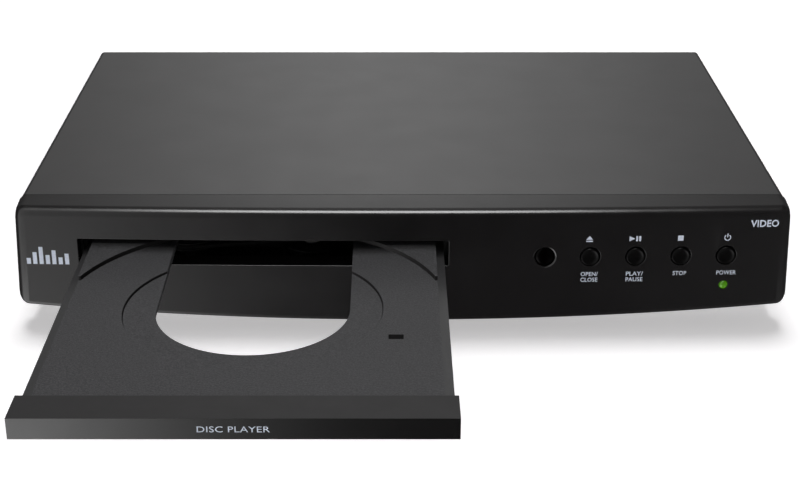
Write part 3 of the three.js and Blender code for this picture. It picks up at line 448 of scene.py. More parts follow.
COVER = cover_paint()
FASCIA = fascia_plastic(shade=1.12)
KEYCAP = fascia_plastic("keycap_plastic", 0.3, 0.1, (0.3, 0.36))
# The panel's front and top are one plastic; the top's lighter colour is painted light from above.
PANEL_PLASTIC = fascia_plastic("panel_plastic", 0.55, 1.0, (0.13, 0.17))
PANEL_LIT_TOP = panel_satin_painted_light()
# Painted shade: a near-black look put on the tray's step walls and in its pocket, which are of the
# tray's own plastic.
PAINTED_SHADE = fascia_plastic("tray_painted_shade", 1.0, 0.2, (0.4, 0.5))
TRAY = tray_plastic()
RAIL = tray_rail()
WINDOW = window_plastic()
GREEN = lit_green()
INK = print_ink()
RUBBER = rubber()
LENS = lens_glass()
ZINC = metal("zinc_steel", (0.42, 0.43, 0.44), (0.56, 0.57, 0.58), (0.3, 0.44), (1, 1, 1), 220)
CHROME = metal("nickel_plate", (0.62, 0.62, 0.6), (0.74, 0.74, 0.72), (0.12, 0.22), (1, 1, 1), 500)
ALUMINIUM = metal("aluminium", (0.6, 0.61, 0.62), (0.75, 0.76, 0.77), (0.3, 0.42), (1, 12, 1), 260)
BRASS = metal("brass", (0.52, 0.36, 0.12), (0.68, 0.5, 0.2), (0.2, 0.3), (1, 1, 1), 400)
BLACK_STEEL = metal("black_steel", (0.02, 0.02, 0.021), (0.045, 0.045, 0.047), (0.36, 0.5),
                    (1, 1, 1), 600)
BLACK = moulded("black_plastic", (0.010, 0.010, 0.0105), (0.016, 0.016, 0.0165))
GREY = moulded("grey_plastic", (0.10, 0.105, 0.11), (0.14, 0.145, 0.15))
WHITE = moulded("white_plastic", (0.52, 0.51, 0.47), (0.62, 0.61, 0.57), (0.4, 0.52))
SLEEVE = moulded("capacitor_sleeve", (0.012, 0.016, 0.035), (0.018, 0.024, 0.05), (0.25, 0.35), 300)
TAPE = moulded("coil_tape", (0.50, 0.34, 0.03), (0.62, 0.44, 0.06), (0.25, 0.4), 260)
GREEN_BOARD = circuit_board("green_board", (0.006, 0.075, 0.03), (0.03, 0.16, 0.05))
PALE_BOARD = circuit_board("pale_board", (0.42, 0.27, 0.12), (0.24, 0.14, 0.05))

# ---------------------------------------------------------------- fascia

def front_face(x):
    """The y of the bowed front at x."""
    return -BOW * (1 - (x / HALF_WIDTH) ** 2)


def face_at(x, z):
    """The y of the front at x and z, with the sides' draft allowed for."""
    return front_face(x / (1 + SIDE_DRAFT * (CASE_TOP - z)))


def bottom_edge(x):
    return FASCIA_BOTTOM_END - FASCIA_BOTTOM_SAG * (1 - (x / HALF_WIDTH) ** 2)


def corner_inset(x, half, radius):
    past = max(0.0, abs(x) - (half - radius))
    return radius - math.sqrt(max(0.0, radius ** 2 - past ** 2))


def fascia_ring(x, half, wall, back, steps):
    """The fascia's section at x, drawn in by wall, from its bottom back corner round the front."""
    front = front_face(x) + wall + corner_inset(x, half, FRONT_CORNER)
    bottom = bottom_edge(x) + wall + corner_inset(x, half, 3.7)
    top = CASE_TOP - wall - corner_inset(x, half, 3)
    low, high = max(0.4, 1.6 - wall), max(0.6, 3.2 - wall)
    points = [(back, bottom)]
    points += arc(front + low, bottom + low, low, 270, 180, steps // 2)
    points += arc(front + high, top - LIP_SLOPE - high, high, 180, 90, steps)
    points.append((back, top))
    return [(x * (1 + SIDE_DRAFT * (CASE_TOP - z)), y, z) for y, z in points]


def fascia_stations(half, corner_steps, middle_steps):
    flat = half - FRONT_CORNER
    turns = [math.pi / 2 * i / corner_steps for i in range(1, corner_steps + 1)]
    bends = [flat + FRONT_CORNER * math.sin(t) for t in turns]
    middle = [-flat + 2 * flat * i / middle_steps for i in range(middle_steps + 1)]
    return [-x for x in reversed(bends)] + middle + bends


def mouth(outline, levels):
    """A cutter whose rings follow the bowed face. Levels are (spread outwards, depth behind it)."""
    count = len(outline)
    rings = []
    for spread, depth in levels:
        ring = []
        for i, (x, z) in enumerate(outline):
            ahead = Vector(outline[(i + 1) % count])
            behind = Vector(outline[i - 1])
            run = (ahead - behind).normalized()
            px, pz = x + run.y * spread, z - run.x * spread
            ring.append((px, face_at(px, pz) + depth, pz))
        rings.append(ring)
    return loft(rings)


def hole_levels(ease, through):
    """A through hole whose edge at the face is rounded over by ease."""
    turns = [math.radians(90 * i / 4) for i in range(5)]
    rim = [(ease * (1 - math.sin(t)), ease * (1 - math.cos(t))) for t in turns]
    return [(ease, -4.0)] + rim + [(0.0, through)]


def spaced(outline, step):
    """The outline with extra points, so that no side is longer than step."""
    out = []
    for (u0, v0), (u1, v1) in zip(outline, outline[1:] + outline[:1]):
        parts = max(1, math.ceil(math.hypot(u1 - u0, v1 - v0) / step))
        out += [(u0 + (u1 - u0) * i / parts, v0 + (v1 - v0) * i / parts) for i in range(parts)]
    return out


def even_front(mesh):
    """Gives the bowed front its own exact normals, so that the holes in it leave no streaks."""
    normals = [Vector(corner.vector) for corner in mesh.corner_normals]
    for face in mesh.polygons:
        middle = face.center
        exact = Vector((2 * BOW * middle.x / HALF_WIDTH ** 2, -1, 0)).normalized()
        near = abs(middle.y - face_at(middle.x, middle.z)) < 0.02
        at_corner = abs(middle.x) > FASCIA_HALF - FRONT_CORNER
        if not near or at_corner or face.normal.angle(exact, math.pi) > math.radians(8):
            continue
        for index in face.loop_indices:
            x = mesh.vertices[mesh.loops[index].vertex_index].co.x
            normals[index] = Vector((2 * BOW * x / HALF_WIDTH ** 2, -1, 0)).normalized()
    mesh.normals_split_custom_set(normals)
    return mesh


def make_fascia():
    outside = loft([fascia_ring(x, FASCIA_HALF, 0, SEAM_Y, 12)
                    for x in fascia_stations(FASCIA_HALF, 10, 120)])
    inner_half = FASCIA_HALF - FASCIA_WALL
    inside = loft([fascia_ring(x, inner_half, FASCIA_WALL, SEAM_Y + 1, 6)
                   for x in fascia_stations(inner_half, 3, 40)])
    left, right, bottom, top = SLOT
    sleeve = block(left - 1.6, right + 1.6, -0.4, 5.6, bottom - 1.6, top + 1.6)
    tongues = [block(-125, 125, 8, 15, 42.9, 44.9)]
    for side in (-1, 1):
        for outer, back in ((129.7, 15), (131.2, 10.2)):
            low, high = sorted((side * 127.6, side * outer))
            tongues.append(block(low, high, 8, back, 14, 41))
    posts = [lathe("Y", 38, x, [(2.4, -0.4), (2.4, KEY_BOARD_Y)], 24) for x in (56, 102)]
    shell = joined(carved(outside, inside), sleeve, *tongues, *posts)
    slot_outline = spaced(rounded_outline(left, right, bottom, top, 0.5, 4), 4.0)
    cutters = [mouth(slot_outline, hole_levels(0.2, 14))]
    for x in KEY_X.values():
        cutters.append(mouth(circle(x, KEY_Z, 3.45), hole_levels(0.3, 14)))
    ring = [(0.45, -4.0), (0.42, 0.0), (0.22, 0.18), (0.0, 0.3), (-0.1, 0.55), (-0.1, 14)]
    cutters.append(mouth(circle(WINDOW_X, KEY_Z, 3.6), ring))
    cutters.append(mouth(circle(KEY_X["power"], LIGHT_Z, 1.62, 32), hole_levels(0.15, 14)))
    mesh = even_front(smoothed(carved(shell, *cutters), 30))
    piece("fascia_shell", mesh, FASCIA, "case", "front_fascia")


def make_key(name, x):
    """A key: a slightly dished cap with a rounded rim, a collar and a stem."""
    face = front_face(x)
    cap = face - 0.5
    behind = face + FASCIA_WALL + 0.6
    dish = [(0.01, cap + 0.42), (1.0, cap + 0.40), (1.9, cap + 0.33), (2.35, cap + 0.22)]
    rim = [(2.5, cap + 0.12), (2.62, cap + 0.04), (2.76, cap), (2.9, cap + 0.05), (3.02, cap + 0.17),
           (3.1, cap + 0.38)]
    body = [(3.1, behind - 0.2), (3.3, behind), (4.5, behind), (4.7, behind + 0.2),
            (4.7, behind + 0.8), (4.5, behind + 1), (1.7, behind + 1), (1.7, SWITCH_FRONT - 1.2),
            (1.5, SWITCH_FRONT - 1), (0.01, SWITCH_FRONT - 1)]
    mesh = smoothed(lathe("Y", KEY_Z, x, dish + rim + body, 72), 40)
    piece(f"keycap_{name}", mesh, KEYCAP, f"key_{name}", f"key_{name}")


def make_window():
    face = front_face(WINDOW_X)
    behind = face + FASCIA_WALL + 0.6
    profile = [(0.01, face + 0.30), (1.2, face + 0.33), (2.3, face + 0.42), (2.9, face + 0.56),
               (3.2, face + 0.8), (3.35, face + 1.1), (3.35, behind), (4.6, behind),
               (4.6, behind + 1), (0.01, behind + 1)]
    mesh = smoothed(lathe("Y", KEY_Z, WINDOW_X, profile, 72), 40)
    piece("window_lens", mesh, WINDOW, "case", "remote_window")


def make_light_pipe():
    face = front_face(KEY_X["power"])
    behind = face + FASCIA_WALL + 0.5
    dome = [(max(0.01, 1.45 * math.sin(t)), face + 0.45 - 0.95 * math.cos(t))
            for t in (math.radians(90 * i / 8) for i in range(9))]
    rest = [(1.45, behind), (2.3, behind), (2.3, behind + 1), (1.45, behind + 1), (1.45, 11.6),
            (0.01, 11.8)]
    mesh = smoothed(lathe("Y", LIGHT_Z, KEY_X["power"], dome + rest, 48), 40)
    piece("light_pipe", mesh, GREEN, "case", "power_light_pipe")


# ---------------------------------------------------------------- printed marks

INK_DEPTH = 0.015


def on_face(mesh, x, z):
    """Lays a mark, drawn in x and z about its own middle, on the bowed face."""
    mesh.transform(Matrix.Translation((x, 0, z)))
    for vertex in mesh.vertices:
        vertex.co.y += face_at(vertex.co.x, vertex.co.z) - INK_DEPTH
    return mesh


def mark(outlines):
    """One thin printed mesh from closed outlines of (x, z) points."""
    whole = bmesh.new()
    for outline in outlines:
        part = prism("Y", [(z, x) for x, z in outline], -INK_DEPTH, INK_DEPTH)
        whole.from_mesh(part)
        bpy.data.meshes.remove(part)
    return mesh_of(whole)


def rectangle(x0, x1, z0, z1):
    return [(x0, z0), (x1, z0), (x1, z1), (x0, z1)]


def ring_arc(radius, width, start, end, steps=24):
    outer = arc(0, 0, radius + width / 2, start, end, steps)
    inner = arc(0, 0, radius - width / 2, end, start, steps)
    return outer + inner


def words(text, cap_height, width, weight=0.012, spacing=1.03):
    """Lettering as a thin mesh, scaled to its cap height and width, about its own middle."""
    curve = bpy.data.curves.new("words", "FONT")
    curve.body = text
    curve.align_x = "CENTER"
    curve.space_character = spacing
    curve.extrude = 0.01
    curve.offset = weight
    curve.resolution_u = 3
    holder = linked(curve, "words")
    bpy.context.view_layer.update()
    flat = holder.evaluated_get(bpy.context.evaluated_depsgraph_get())
    mesh = bpy.data.meshes.new_from_object(flat)
    bpy.data.objects.remove(holder)
    bpy.data.curves.remove(curve)
    low = Vector([min(v.co[i] for v in mesh.vertices) for i in range(3)])
    high = Vector([max(v.co[i] for v in mesh.vertices) for i in range(3)])
    size = high - low
    mesh.transform(Matrix.Translation(-(low + high) / 2))
    scale = (width / size.x, cap_height / size.y, 2 * INK_DEPTH / size.z, 1)
    mesh.transform(Matrix.Diagonal(scale))
    mesh.transform(Matrix.Rotation(math.pi / 2, 4, "X"))
    return mesh


def printed(name, mesh, body="case"):
    piece(name, mesh, INK, body)


# The marks' heights on the face, how far some stand beside their key, and the letters' sizes.
SYMBOL_Z = 34.9
SYMBOL_SHIFT = {"open_close": -0.5, "play_pause": -0.5, "stop": -0.5, "power": 0.0}
LABEL_Z = (21.85, 19.7)
LABEL_CAP = 1.55
LETTER_WIDTH = 1.17
POWER_LABEL_EXTRA = 0.9
POWER_LABEL_SHIFT = 0.6
BAR_HEIGHTS = (2.2, 4.4, 6.4, 3.4, 5.2, 2.6, 4.0)
BAR_WIDTH = 1.4
BAR_PITCH = 2.2


def make_marks():
    """The keys' usual symbols and function words, a plain pictogram and a plain word."""
    eject = [[(-1.15, -0.25), (1.15, -0.25), (0, 1.15)], rectangle(-1.15, 1.15, -1.05, -0.6)]
    play = [[(-1.95, -0.95), (0.0, 0.0), (-1.95, 0.95)], rectangle(0.3, 0.95, -0.95, 0.95),
            rectangle(1.35, 2.0, -0.95, 0.95)]
    stop = [rectangle(-0.95, 0.95, -0.95, 0.95)]
    power = [ring_arc(1.0, 0.34, 125, 415), rectangle(-0.17, 0.17, 0.1, 1.45)]
    for name, outlines in zip(KEY_X, (eject, play, stop, power)):
        x = KEY_X[name] + SYMBOL_SHIFT[name]
        printed(f"symbol_{name}", on_face(mark(outlines), x, SYMBOL_Z))
    labels = {"open_close": ("OPEN/", "CLOSE"), "play_pause": ("PLAY/", "PAUSE"), "stop": ("STOP",),
              "power": ("POWER",)}
    for name, lines in labels.items():
        for text, z in zip(lines, LABEL_Z):
            width, x = LETTER_WIDTH * len(text), KEY_X[name]
            if name == "power":
                width, x = width + POWER_LABEL_EXTRA, x + POWER_LABEL_SHIFT
            mesh = on_face(words(text, LABEL_CAP, width), x, z)
            printed(f"label_{name}_{text.strip('/').lower()}", mesh)
    printed("word_video", on_face(words("VIDEO", 2.6, 9.6, 0.022), 122.6, 39.9))
    left, foot = -7.2, -3.2
    starts = [left + BAR_PITCH * i for i in range(len(BAR_HEIGHTS))]
    bars = [rectangle(x, x + BAR_WIDTH, foot, foot + h) for x, h in zip(starts, BAR_HEIGHTS)]
    printed("pictogram_bars", on_face(mark(bars), -121.4, 28.0))
    panel_front = PANEL[2]
    text = words("DISC PLAYER", 1.85, 20.0, 0.0)
    text.transform(Matrix.Translation((TRAY_X, panel_front - INK_DEPTH, 29.3)))
    printed("words_disc_player", text, "tray")


# ---------------------------------------------------------------- cover and case

def arch(half, bottom, top, radius, steps=8):
    """An upside-down U as (z, x) points for a prism along Y."""
    points = [(bottom, half)]
    points += [(z, x) for x, z in arc(half - radius, top - radius, radius, 0, 90, steps)]
    points += [(z, x) for x, z in arc(-half + radius, top - radius, radius, 90, 180, steps)]
    points.append((bottom, -half))
    return points


def slot_outline(u0, u1, v0, v1):
    """A rounded-end slot, long in v."""
    radius = (u1 - u0) / 2 - 0.001
    return rounded_outline(u0, u1, v0, v1, radius, 8)


SCREW_X = (-112, 118)
SCREW_Z = 41.6


def make_cover():
    outside = prism("Y", arch(HALF_WIDTH, COVER_BOTTOM, CASE_TOP, 1.8), SEAM_Y + 0.3, CASE_BACK)
    inside = prism("Y", arch(HALF_WIDTH - SHEET, 0, CASE_TOP - SHEET, 1.0), 0, CASE_BACK - SHEET)
    below_lip = block(-HALF_WIDTH + SHEET, HALF_WIDTH - SHEET, 170, 180, 0, 38)
    tools = [inside, below_lip]
    tools += [lathe("Y", SCREW_Z, x, [(1.8, 170), (1.8, 180)], 32) for x in SCREW_X]
    for i in range(8):
        y = 66 + 10 * i
        tools.append(prism("X", slot_outline(y, y + 3, 22, 34), -140, 140))
    mesh = eased(carved(outside, *tools), 0.16, 2)
    piece("cover_shell", mesh, COVER, "case", "top_cover")


def screw_mesh(axis, u, v, head, way, shank):
    """A pan-head screw with a cross recess. Its head stands out from w = head along way."""
    steps = [(0.01, -shank), (0.9, -shank), (1.2, 0.5 - shank), (1.2, 0), (2.9, 0), (3.1, 0.2),
             (3.1, 0.7), (2.7, 1.25), (1.9, 1.6), (0.01, 1.7)]
    profile = [(radius, head + way * ahead) for radius, ahead in steps]
    body = lathe(axis, u, v, profile if way > 0 else list(reversed(profile)), 40)
    low, high = sorted((head + way * 0.6, head + way * 3))
    cross = [prism(axis, rectangle(u - a, u + a, v - b, v + b), low, high)
             for a, b in ((1.75, 0.32), (0.32, 1.75))]
    return smoothed(carved(body, *cross), 35)


def make_screws():
    for side, x in zip(("left", "right"), SCREW_X):
        mesh = screw_mesh("Y", SCREW_Z, x, CASE_BACK + 0.05, 1, 6)
        piece(f"screw_rear_{side}", mesh, BLACK_STEEL, "case", f"cover_screw_{side}")


# A foot's turned outline: a recess in its sole, a rounded rim and a groove below its collar.
FOOT = [(0.01, 0.7), (4.6, 0.7), (5.0, 0.4), (5.2, 0.05), (5.5, 0.0), (7.9, 0.0), (8.5, 0.2),
        (8.9, 0.6), (9.0, 1.1), (8.75, 3.4), (8.72, 3.7), (8.55, 3.8), (8.55, 4.1), (8.68, 4.2),
        (8.2, CHASSIS_BOTTOM), (0.01, CHASSIS_BOTTOM)]


def make_feet():
    for row, y in (("front", 34), ("rear", 152)):
        for side, x in (("left", -108), ("right", 108)):
            name = f"foot_{row}_{side}"
            mesh = smoothed(lathe("Z", x, y, FOOT, 64), 35)
            piece(f"{name}_pad", mesh, RUBBER, "case", name)


JACKS = {(58, 20.5): "red", (73, 20.5): "white", (58, 33): "orange", (73, 33): "yellow"}
RING_COLOURS = {"red": (0.55, 0.02, 0.015), "white": (0.75, 0.74, 0.7), "orange": (0.8, 0.2, 0.01),
                "yellow": (0.75, 0.52, 0.02)}


def make_jacks():
    """The phono jacks: a moulding, plated sleeves, coloured insulators and centre contacts."""
    body = eased(block(50, 81, 163.5, REAR_PANEL_Y - 0.3, 15.6, 41), 0.3)
    piece("jack_moulding", body, BLACK, "case", "jack_block")
    back = REAR_PANEL_Y + 9.5
    for (x, z), colour in JACKS.items():
        sleeve = [(3.3, REAR_PANEL_Y - 1), (4.4, REAR_PANEL_Y - 1), (4.4, REAR_PANEL_Y + 1.4),
                  (4.15, REAR_PANEL_Y + 1.7), (4.15, back - 0.5), (3.9, back), (3.5, back),
                  (3.3, back - 0.3)]
        mesh = smoothed(turned_tube(z, x, sleeve, 48), 35)
        piece(f"jack_sleeve_{colour}", mesh, CHROME, "case")
        insulator = [(1.9, REAR_PANEL_Y - 1), (3.28, REAR_PANEL_Y - 1), (3.28, back - 1.4),
                     (3.0, back - 1.2), (2.1, back - 1.2), (1.9, back - 1.4)]
        mesh = smoothed(turned_tube(z, x, insulator, 40), 35)
        tone = RING_COLOURS[colour]
        look = moulded(f"ring_{colour}", tuple(c * 0.9 for c in tone), tone, (0.3, 0.4), 500)
        piece(f"jack_ring_{colour}", mesh, look, "case")
        contact = [(0.01, REAR_PANEL_Y - 1), (1.5, REAR_PANEL_Y - 1), (1.5, back - 3.4),
                   (1.3, back - 3), (1.0, back - 3), (0.9, back - 3.4), (0.9, back - 6),
                   (0.01, back - 6)]
        mesh = smoothed(lathe("Y", z, x, contact, 32), 35)
        piece(f"jack_contact_{colour}", mesh, BRASS, "case")


def turned_tube(u, v, profile, sides):
    """A turned ring along Y, from a closed loop of (radius, distance) points."""
    bm = bmesh.new()
    made = [[bm.verts.new(along("Y", p, q, w)) for p, q in circle(u, v, r, sides)]
            for r, w in profile]
    count = len(made[0])
    for a, b in zip(made, made[1:] + made[:1]):
        for i in range(count):
            j = (i + 1) % count
            bm.faces.new((a[i], a[j], b[j], b[i]))
    return mesh_of(bm)


# ---------------------------------------------------------------- tray

def tray_plan():
    left, right = TRAY_X - TRAY_HALF, TRAY_X + TRAY_HALF
    points = [(left, TRAY_FRONT), (right, TRAY_FRONT)]
    points += arc(right - 3, TRAY_BACK - 3, 3, 0, 90, 6)
    points += arc(TRAY_X + HOLE_RADIUS + 1.5, TRAY_BACK - 1.5, 1.5, 90, 180, 5)
    points += arc(TRAY_X, DISC_Y, HOLE_RADIUS, 0, -180, 72)
    points += arc(TRAY_X - HOLE_RADIUS - 1.5, TRAY_BACK - 1.5, 1.5, 0, 90, 5)
    points += arc(left + 3, TRAY_BACK - 3, 3, 90, 180, 6)
    return points


TOOTH_TIP, TOOTH_ROOT, TOOTH_ABOVE, TOOTH_BELOW = 0.28, 0.95, 0.9, 1.15


def rack_outline(length):
    first = DRIVE_Y + 3 * math.pi
    back, root, tip = RACK_PITCH_X - 3.6, RACK_PITCH_X - TOOTH_BELOW, RACK_PITCH_X + TOOTH_ABOVE
    points = [(back, first + 1.5), (back, first - length)]
    for i in reversed(range(int(length / math.pi))):
        y = first - i * math.pi
        points += [(root, y - TOOTH_ROOT), (tip, y - TOOTH_TIP)]
        points += [(tip, y + TOOTH_TIP), (root, y + TOOTH_ROOT)]
    return points + [(root, first + 1.5)]


# The small pocket in the tray's floor: its sides, the reach of the painted shade in it, and its
# floor.
POCKET = (-4.9, -0.2, -68.8, -65.8)
POCKET_EDGE = 0.05
POCKET_FLOOR = 29.5

# The tray's looks, in the order of its materials; the third is painted shade on the step walls and
# in the pocket.
GRAINED, RAIL_SIDE, SHADED_FACES = 0, 1, 2


def tray_area(face):
    """Which of the tray's three looks a face has."""
    x, y, _ = face.center
    x0, x1, y0, y1 = POCKET
    in_pocket = x0 - POCKET_EDGE < x < x1 + POCKET_EDGE and y0 - POCKET_EDGE < y < y1 + POCKET_EDGE
    radius = math.hypot(x - TRAY_X, y - DISC_Y)
    on_step = abs(face.normal.z) < 0.85 and (39.5 < radius < 42 or 60 < radius < 62)
    # Step walls and the pocket take the painted shade.
    if on_step or in_pocket:
        return SHADED_FACES
    return RAIL_SIDE if abs(x - TRAY_X) > TRAY_HALF - RAIL_WIDTH else GRAINED


def make_tray():
    left, right = TRAY_X - TRAY_HALF, TRAY_X + TRAY_HALF
    floor = prism("Z", tray_plan(), FLOOR_BOTTOM, FLOOR_TOP)
    corners = prism("Z", tray_plan(), FLOOR_TOP - 0.3, CORNER_TOP)
    corners = carved(
        corners,
        lathe("Z", TRAY_X, DISC_Y, [(DISC_SEAT_RADIUS, 20), (DISC_SEAT_RADIUS, 40)], 240),
        block(left - 1, right + 1, TRAY_FRONT - 20, DISC_Y + 20, 20, 40),
    )
    seat = [(40.3, 30.4), (40.55, 30.45), (40.8, 31.15), (41.0, FLOOR_TOP + 0.02), (41.0, 35)]
    small_seat = lathe("Z", TRAY_X, DISC_Y, [(0.01, 30.4)] + seat + [(0.01, 35)], 180)
    rail_tops = [block(left - 1, left + RAIL_WIDTH, TRAY_FRONT - 1, TRAY_BACK + 1, RAIL_TOP, 40),
                 block(right - RAIL_WIDTH, right + 1, TRAY_FRONT - 1, TRAY_BACK + 1, RAIL_TOP, 40)]
    skirts = [block(left, left + 1.4, TRAY_FRONT, TRAY_BACK - 4, 27.2, FLOOR_BOTTOM + 0.2),
              block(right - 1.4, right, TRAY_FRONT, TRAY_BACK - 4, 27.2, FLOOR_BOTTOM + 0.2)]
    rib = block(5.6, 7.2, TRAY_FRONT + 6, TRAY_BACK - 6, 27.2, FLOOR_BOTTOM + 0.2)
    tab = block(TRAY_X - 57, TRAY_X + 57, PANEL[2] + 2.2, TRAY_FRONT + 1, 28.2, 30.6)
    rack = prism("Z", rack_outline(TRAY_TRAVEL + 14), 26.3, FLOOR_BOTTOM + 0.2)
    pocket = prism("Z", rounded_outline(*POCKET, 0.3, 3), POCKET_FLOOR, 40)
    top = carved(joined(floor, corners), small_seat, *rail_tops)
    whole = carved(joined(top, *skirts, rib, tab, rack), pocket)
    mesh = eased(whole, 0.12, 2)
    areas = [tray_area(face) for face in mesh.polygons]
    # The third look is painted shade on the step walls and in the pocket.
    looks = (TRAY, RAIL, PAINTED_SHADE)
    obj = piece("tray_moulding", mesh, looks, "tray", "disc_tray")
    for face, area in zip(obj.data.polygons, areas):
        face.material_index = area


def make_panel():
    left, right, front, back, bottom, top = PANEL
    bar = block(left, right, front, back, bottom, top)
    hollow = block(left + 1.6, right - 1.6, front + 1.8, back + 1, bottom + 1.4, top - 1.4)
    behind_rails = block(left - 1, right + 1, TRAY_FRONT - 0.3, back + 1, 20, top - 1.15)
    mesh = eased(carved(bar, hollow, behind_rails), 0.3, 3)
    obj = piece("panel_bar", mesh, (PANEL_PLASTIC, PANEL_LIT_TOP), "tray", "tray_panel")
    for face in obj.data.polygons:
        # Upward faces take the top's painted light.
        face.material_index = 1 if face.normal.z > 0.95 else 0


# ---------------------------------------------------------------- hidden and mechanical parts

def refine(node, material, width):
    """A copy of a CAD node with its edges rounded, shown in the node's place."""
    mesh = NODES[node].data.copy()
    mesh.transform(Matrix.Scale(1 / MM, 4))
    mesh = eased(mesh, width)
    mesh.transform(Matrix.Scale(MM, 4))
    bodies = frame["record"]["behaviour"]["bodies"]
    body = next(name for name, members in bodies.items() if node in members)
    fitted(f"{node}_fine", mesh, material, body, node)


REFINED = {
    "bottom_chassis": (ZINC, 0.12), "rear_panel": (COVER, 0.1), "key_board": (PALE_BOARD, 0.08),
    "remote_receiver": (BLACK, 0.2), "power_led": (WHITE, 0.15), "drive_gear": (BLACK, 0.06),
    "pulley_gear": (BLACK, 0.06), "motor_pulley": (WHITE, 0.1), "belt": (RUBBER, 0.2),
    "loading_motor": (BLACK_STEEL, 0.4), "loader_frame": (BLACK, 0.2), "cam_slider": (WHITE, 0.15),
    "traverse_deck": (BLACK, 0.15), "spindle_motor": (ZINC, 0.3), "turntable": (BLACK, 0.2),
    "sled_rod_left": (CHROME, 0.2), "sled_rod_right": (CHROME, 0.2), "pickup_body": (GREY, 0.25),
    "objective_lens": (LENS, 0.1), "sled_motor": (ZINC, 0.3), "lead_screw": (BRASS, 0.05),
    "clamp_bridge": (BLACK, 0.2), "clamper": (WHITE, 0.2), "main_board": (GREEN_BOARD, 0.08),
    "decoder_heat_sink": (ALUMINIUM, 0.12), "memory_chip": (BLACK, 0.1),
    "board_capacitor": (SLEEVE, 0.2),
    "crystal": (CHROME, 0.5), "video_socket": (CHROME, 0.12), "power_board": (PALE_BOARD, 0.08),
    "mains_inlet": (BLACK, 0.25), "transformer": (TAPE, 0.4), "mains_capacitor": (SLEEVE, 0.2),
    "output_capacitor_1": (SLEEVE, 0.2), "output_capacitor_2": (SLEEVE, 0.2),
    "power_heat_sink": (ALUMINIUM, 0.12), "fuse": (CHROME, 0.1), "line_filter": (TAPE, 0.4),
    "key_ribbon": (WHITE, 0.06),
    "switch_open_close": (BLACK, 0.2), "switch_play_pause": (BLACK, 0.2),
    "switch_stop": (BLACK, 0.2), "switch_power": (BLACK, 0.2),
}


# ---------------------------------------------------------------- stage, light and camera

def make_stage():
    bm = bmesh.new()
    bmesh.ops.create_grid(bm, x_segments=1, y_segments=1, size=6)
    mesh = bpy.data.meshes.new("floor")
    bm.to_mesh(mesh)
    bm.free()
    floor = linked(mesh, "floor")
    look = bpy.data.materials.new("floor_paint")
    look.use_nodes = True
    shader = look.node_tree.nodes["Principled BSDF"]
    shader.inputs["Base Color"].default_value = (0.9, 0.89, 0.9, 1)
    shader.inputs["Roughness"].default_value = 1.0
    shader.inputs["Specular IOR Level"].default_value = 0.0
    shader.inputs["Emission Color"].default_value = (1.0, 0.985, 0.99, 1)
    shader.inputs["Emission Strength"].default_value = 0.44
    mesh.materials.append(look)
    floor.visible_glossy = False


def studio_gradient(tree, position, stops):
    """A ramp over one component of the direction, from (value, brightness) stops."""
    low, high = stops[0][0], stops[-1][0]
    span = tree.nodes.new("ShaderNodeMapRange")
    span.inputs["From Min"].default_value = low
    span.inputs["From Max"].default_value = high
    tree.links.new(position, span.inputs["Value"])
    ramp = tree.nodes.new("ShaderNodeValToRGB")
    while len(ramp.color_ramp.elements) < len(stops):
        ramp.color_ramp.elements.new(0.5)
    for element, (value, bright) in zip(ramp.color_ramp.elements, stops):
        element.position = (value - low) / (high - low)
        element.color = (bright, bright, bright, 1)
    tree.links.new(span.outputs["Result"], ramp.inputs["Fac"])
    return ramp.outputs["Color"]


def scaled(tree, a, b):
    node = tree.nodes.new("ShaderNodeMix")
    node.data_type = "RGBA"
    node.blend_type = "MULTIPLY"
    node.inputs["Factor"].default_value = 1.0
    sockets = [i for i in node.inputs if i.type == "RGBA"]
    tree.links.new(a, sockets[0])
    tree.links.new(b, sockets[1])
    return [o for o in node.outputs if o.type == "RGBA"][0]


# Brightness of the studio behind and in front of the player, by the direction's X and by its Z.
BEHIND_X = [(-0.34, 0.15), (-0.2, 0.33), (-0.15, 0.52), (-0.075, 0.84), (-0.01, 1.05), (0.075, 0.8),
            (0.155, 0.54), (0.2, 0.38), (0.34, 0.15)]
BEHIND_Z = [(0.1, 0.42), (0.3, 0.66), (0.34, 0.89), (0.375, 1.2), (0.43, 1.42), (0.465, 1.36),
            (0.5, 0.55), (0.6, 0.55)]
AHEAD_X = [(-0.34, 2.9), (-0.26, 2.4), (-0.19, 1.4), (-0.13, 0.58), (-0.1, 0.36), (-0.06, 0.19),
           (0.0, 0.04), (0.14, 0.04), (0.22, 0.2), (0.34, 0.4)]
AHEAD_Z = [(-0.56, 0.93), (-0.475, 0.93), (-0.45, 0.36), (-0.3, 0.36)]


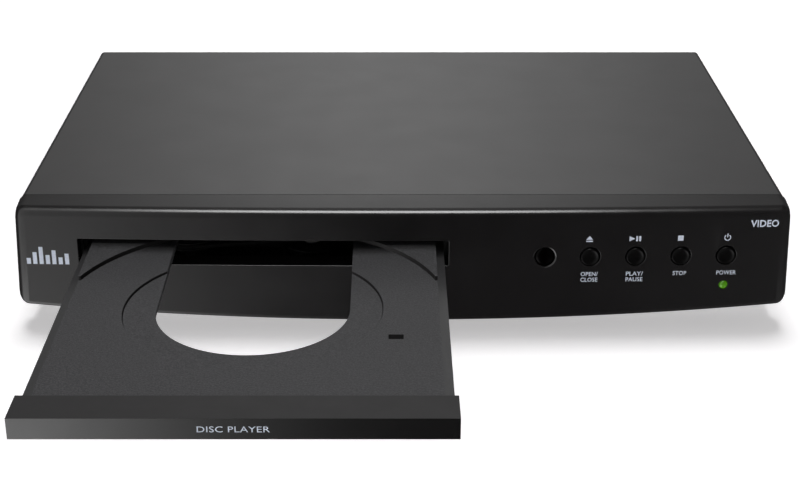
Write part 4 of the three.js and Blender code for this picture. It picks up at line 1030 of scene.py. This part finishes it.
def make_world():
    world = bpy.data.worlds.new("studio")
    world.use_nodes = True
    tree = world.node_tree
    new, link = tree.nodes.new, tree.links.new
    way = new("ShaderNodeSeparateXYZ")
    link(new("ShaderNodeTexCoord").outputs["Generated"], way.inputs["Vector"])
    across, up = way.outputs["X"], way.outputs["Z"]
    behind, ahead = (
        scaled(tree, studio_gradient(tree, across, sideways), studio_gradient(tree, up, upright))
        for sideways, upright in ((BEHIND_X, BEHIND_Z), (AHEAD_X, AHEAD_Z))
    )
    side = new("ShaderNodeMapRange")
    side.inputs["From Min"].default_value = -0.1
    side.inputs["From Max"].default_value = 0.1
    link(way.outputs["Y"], side.inputs["Value"])
    blend = new("ShaderNodeMix")
    blend.data_type = "RGBA"
    sockets = [i for i in blend.inputs if i.type == "RGBA"]
    link(side.outputs["Result"], blend.inputs["Factor"])
    link(ahead, sockets[0])
    link(behind, sockets[1])
    reflected = tree.nodes["Background"]
    link([o for o in blend.outputs if o.type == "RGBA"][0], reflected.inputs["Color"])
    reflected.inputs["Strength"].default_value = 1.0
    seen, soft = new("ShaderNodeBackground"), new("ShaderNodeBackground")
    seen.inputs["Color"].default_value = (1, 1, 1, 1)
    soft.inputs["Color"].default_value = (1.0, 0.985, 0.99, 1)
    soft.inputs["Strength"].default_value = AMBIENT
    path = new("ShaderNodeLightPath")
    mirror, screen = new("ShaderNodeMixShader"), new("ShaderNodeMixShader")
    link(path.outputs["Is Glossy Ray"], mirror.inputs["Fac"])
    link(soft.outputs["Background"], mirror.inputs[1])
    link(reflected.outputs["Background"], mirror.inputs[2])
    link(path.outputs["Is Camera Ray"], screen.inputs["Fac"])
    link(mirror.outputs["Shader"], screen.inputs[1])
    link(seen.outputs["Background"], screen.inputs[2])
    link(screen.outputs["Shader"], tree.nodes["World Output"].inputs["Surface"])
    bpy.context.scene.world = world


def softbox(name, place, target, width, height, power, colour=(1, 1, 1)):
    light = bpy.data.lights.new(name, "AREA")
    light.shape = "RECTANGLE"
    light.size = width
    light.size_y = height
    light.energy = power
    light.color = colour
    obj = linked(light, name)
    obj.location = place
    obj.rotation_euler = (Vector(target) - Vector(place)).to_track_quat("-Z", "Y").to_euler()
    return obj


AMBIENT = 0.16


def make_lights():
    """A broad soft sun from above and behind, and a strip that only glints along rounded edges."""
    sun = bpy.data.lights.new("sun", "SUN")
    sun.energy = 1.9
    sun.angle = math.radians(24)
    source = linked(sun, "sun")
    source.rotation_euler = Vector((0.02, -0.26, -0.96)).to_track_quat("-Z", "Y").to_euler()
    source.visible_glossy = False
    strip = softbox("strip", (-0.03, -0.32, 1.3), (-0.03, 0, 0.04), 0.52, 0.6, 14)
    strip.visible_diffuse = False


CAMERA = {"place": (-5.01, -495.5, 251.4), "pitch": 0.42, "lens": 71.04,
          "shift": (0.01857, -0.0008)}


def make_camera():
    data = bpy.data.cameras.new("camera")
    data.sensor_width = 36
    data.lens = CAMERA["lens"]
    data.shift_x, data.shift_y = CAMERA["shift"]
    data.clip_start = 0.01
    camera = linked(data, "camera")
    camera.location = metres(*CAMERA["place"])
    camera.rotation_euler = (math.pi / 2 - CAMERA["pitch"], 0, 0)
    bpy.context.scene.camera = camera


make_camera()
make_stage()
make_world()
make_lights()
make_fascia()
for key_name, key_x in KEY_X.items():
    make_key(key_name, key_x)
make_window()
make_light_pipe()
make_marks()
make_cover()
make_screws()
make_feet()
make_jacks()
make_tray()
make_panel()
for node_name, (node_look, edge_width) in REFINED.items():
    refine(node_name, node_look, edge_width)

bpy.context.scene.view_settings.view_transform = "Standard"
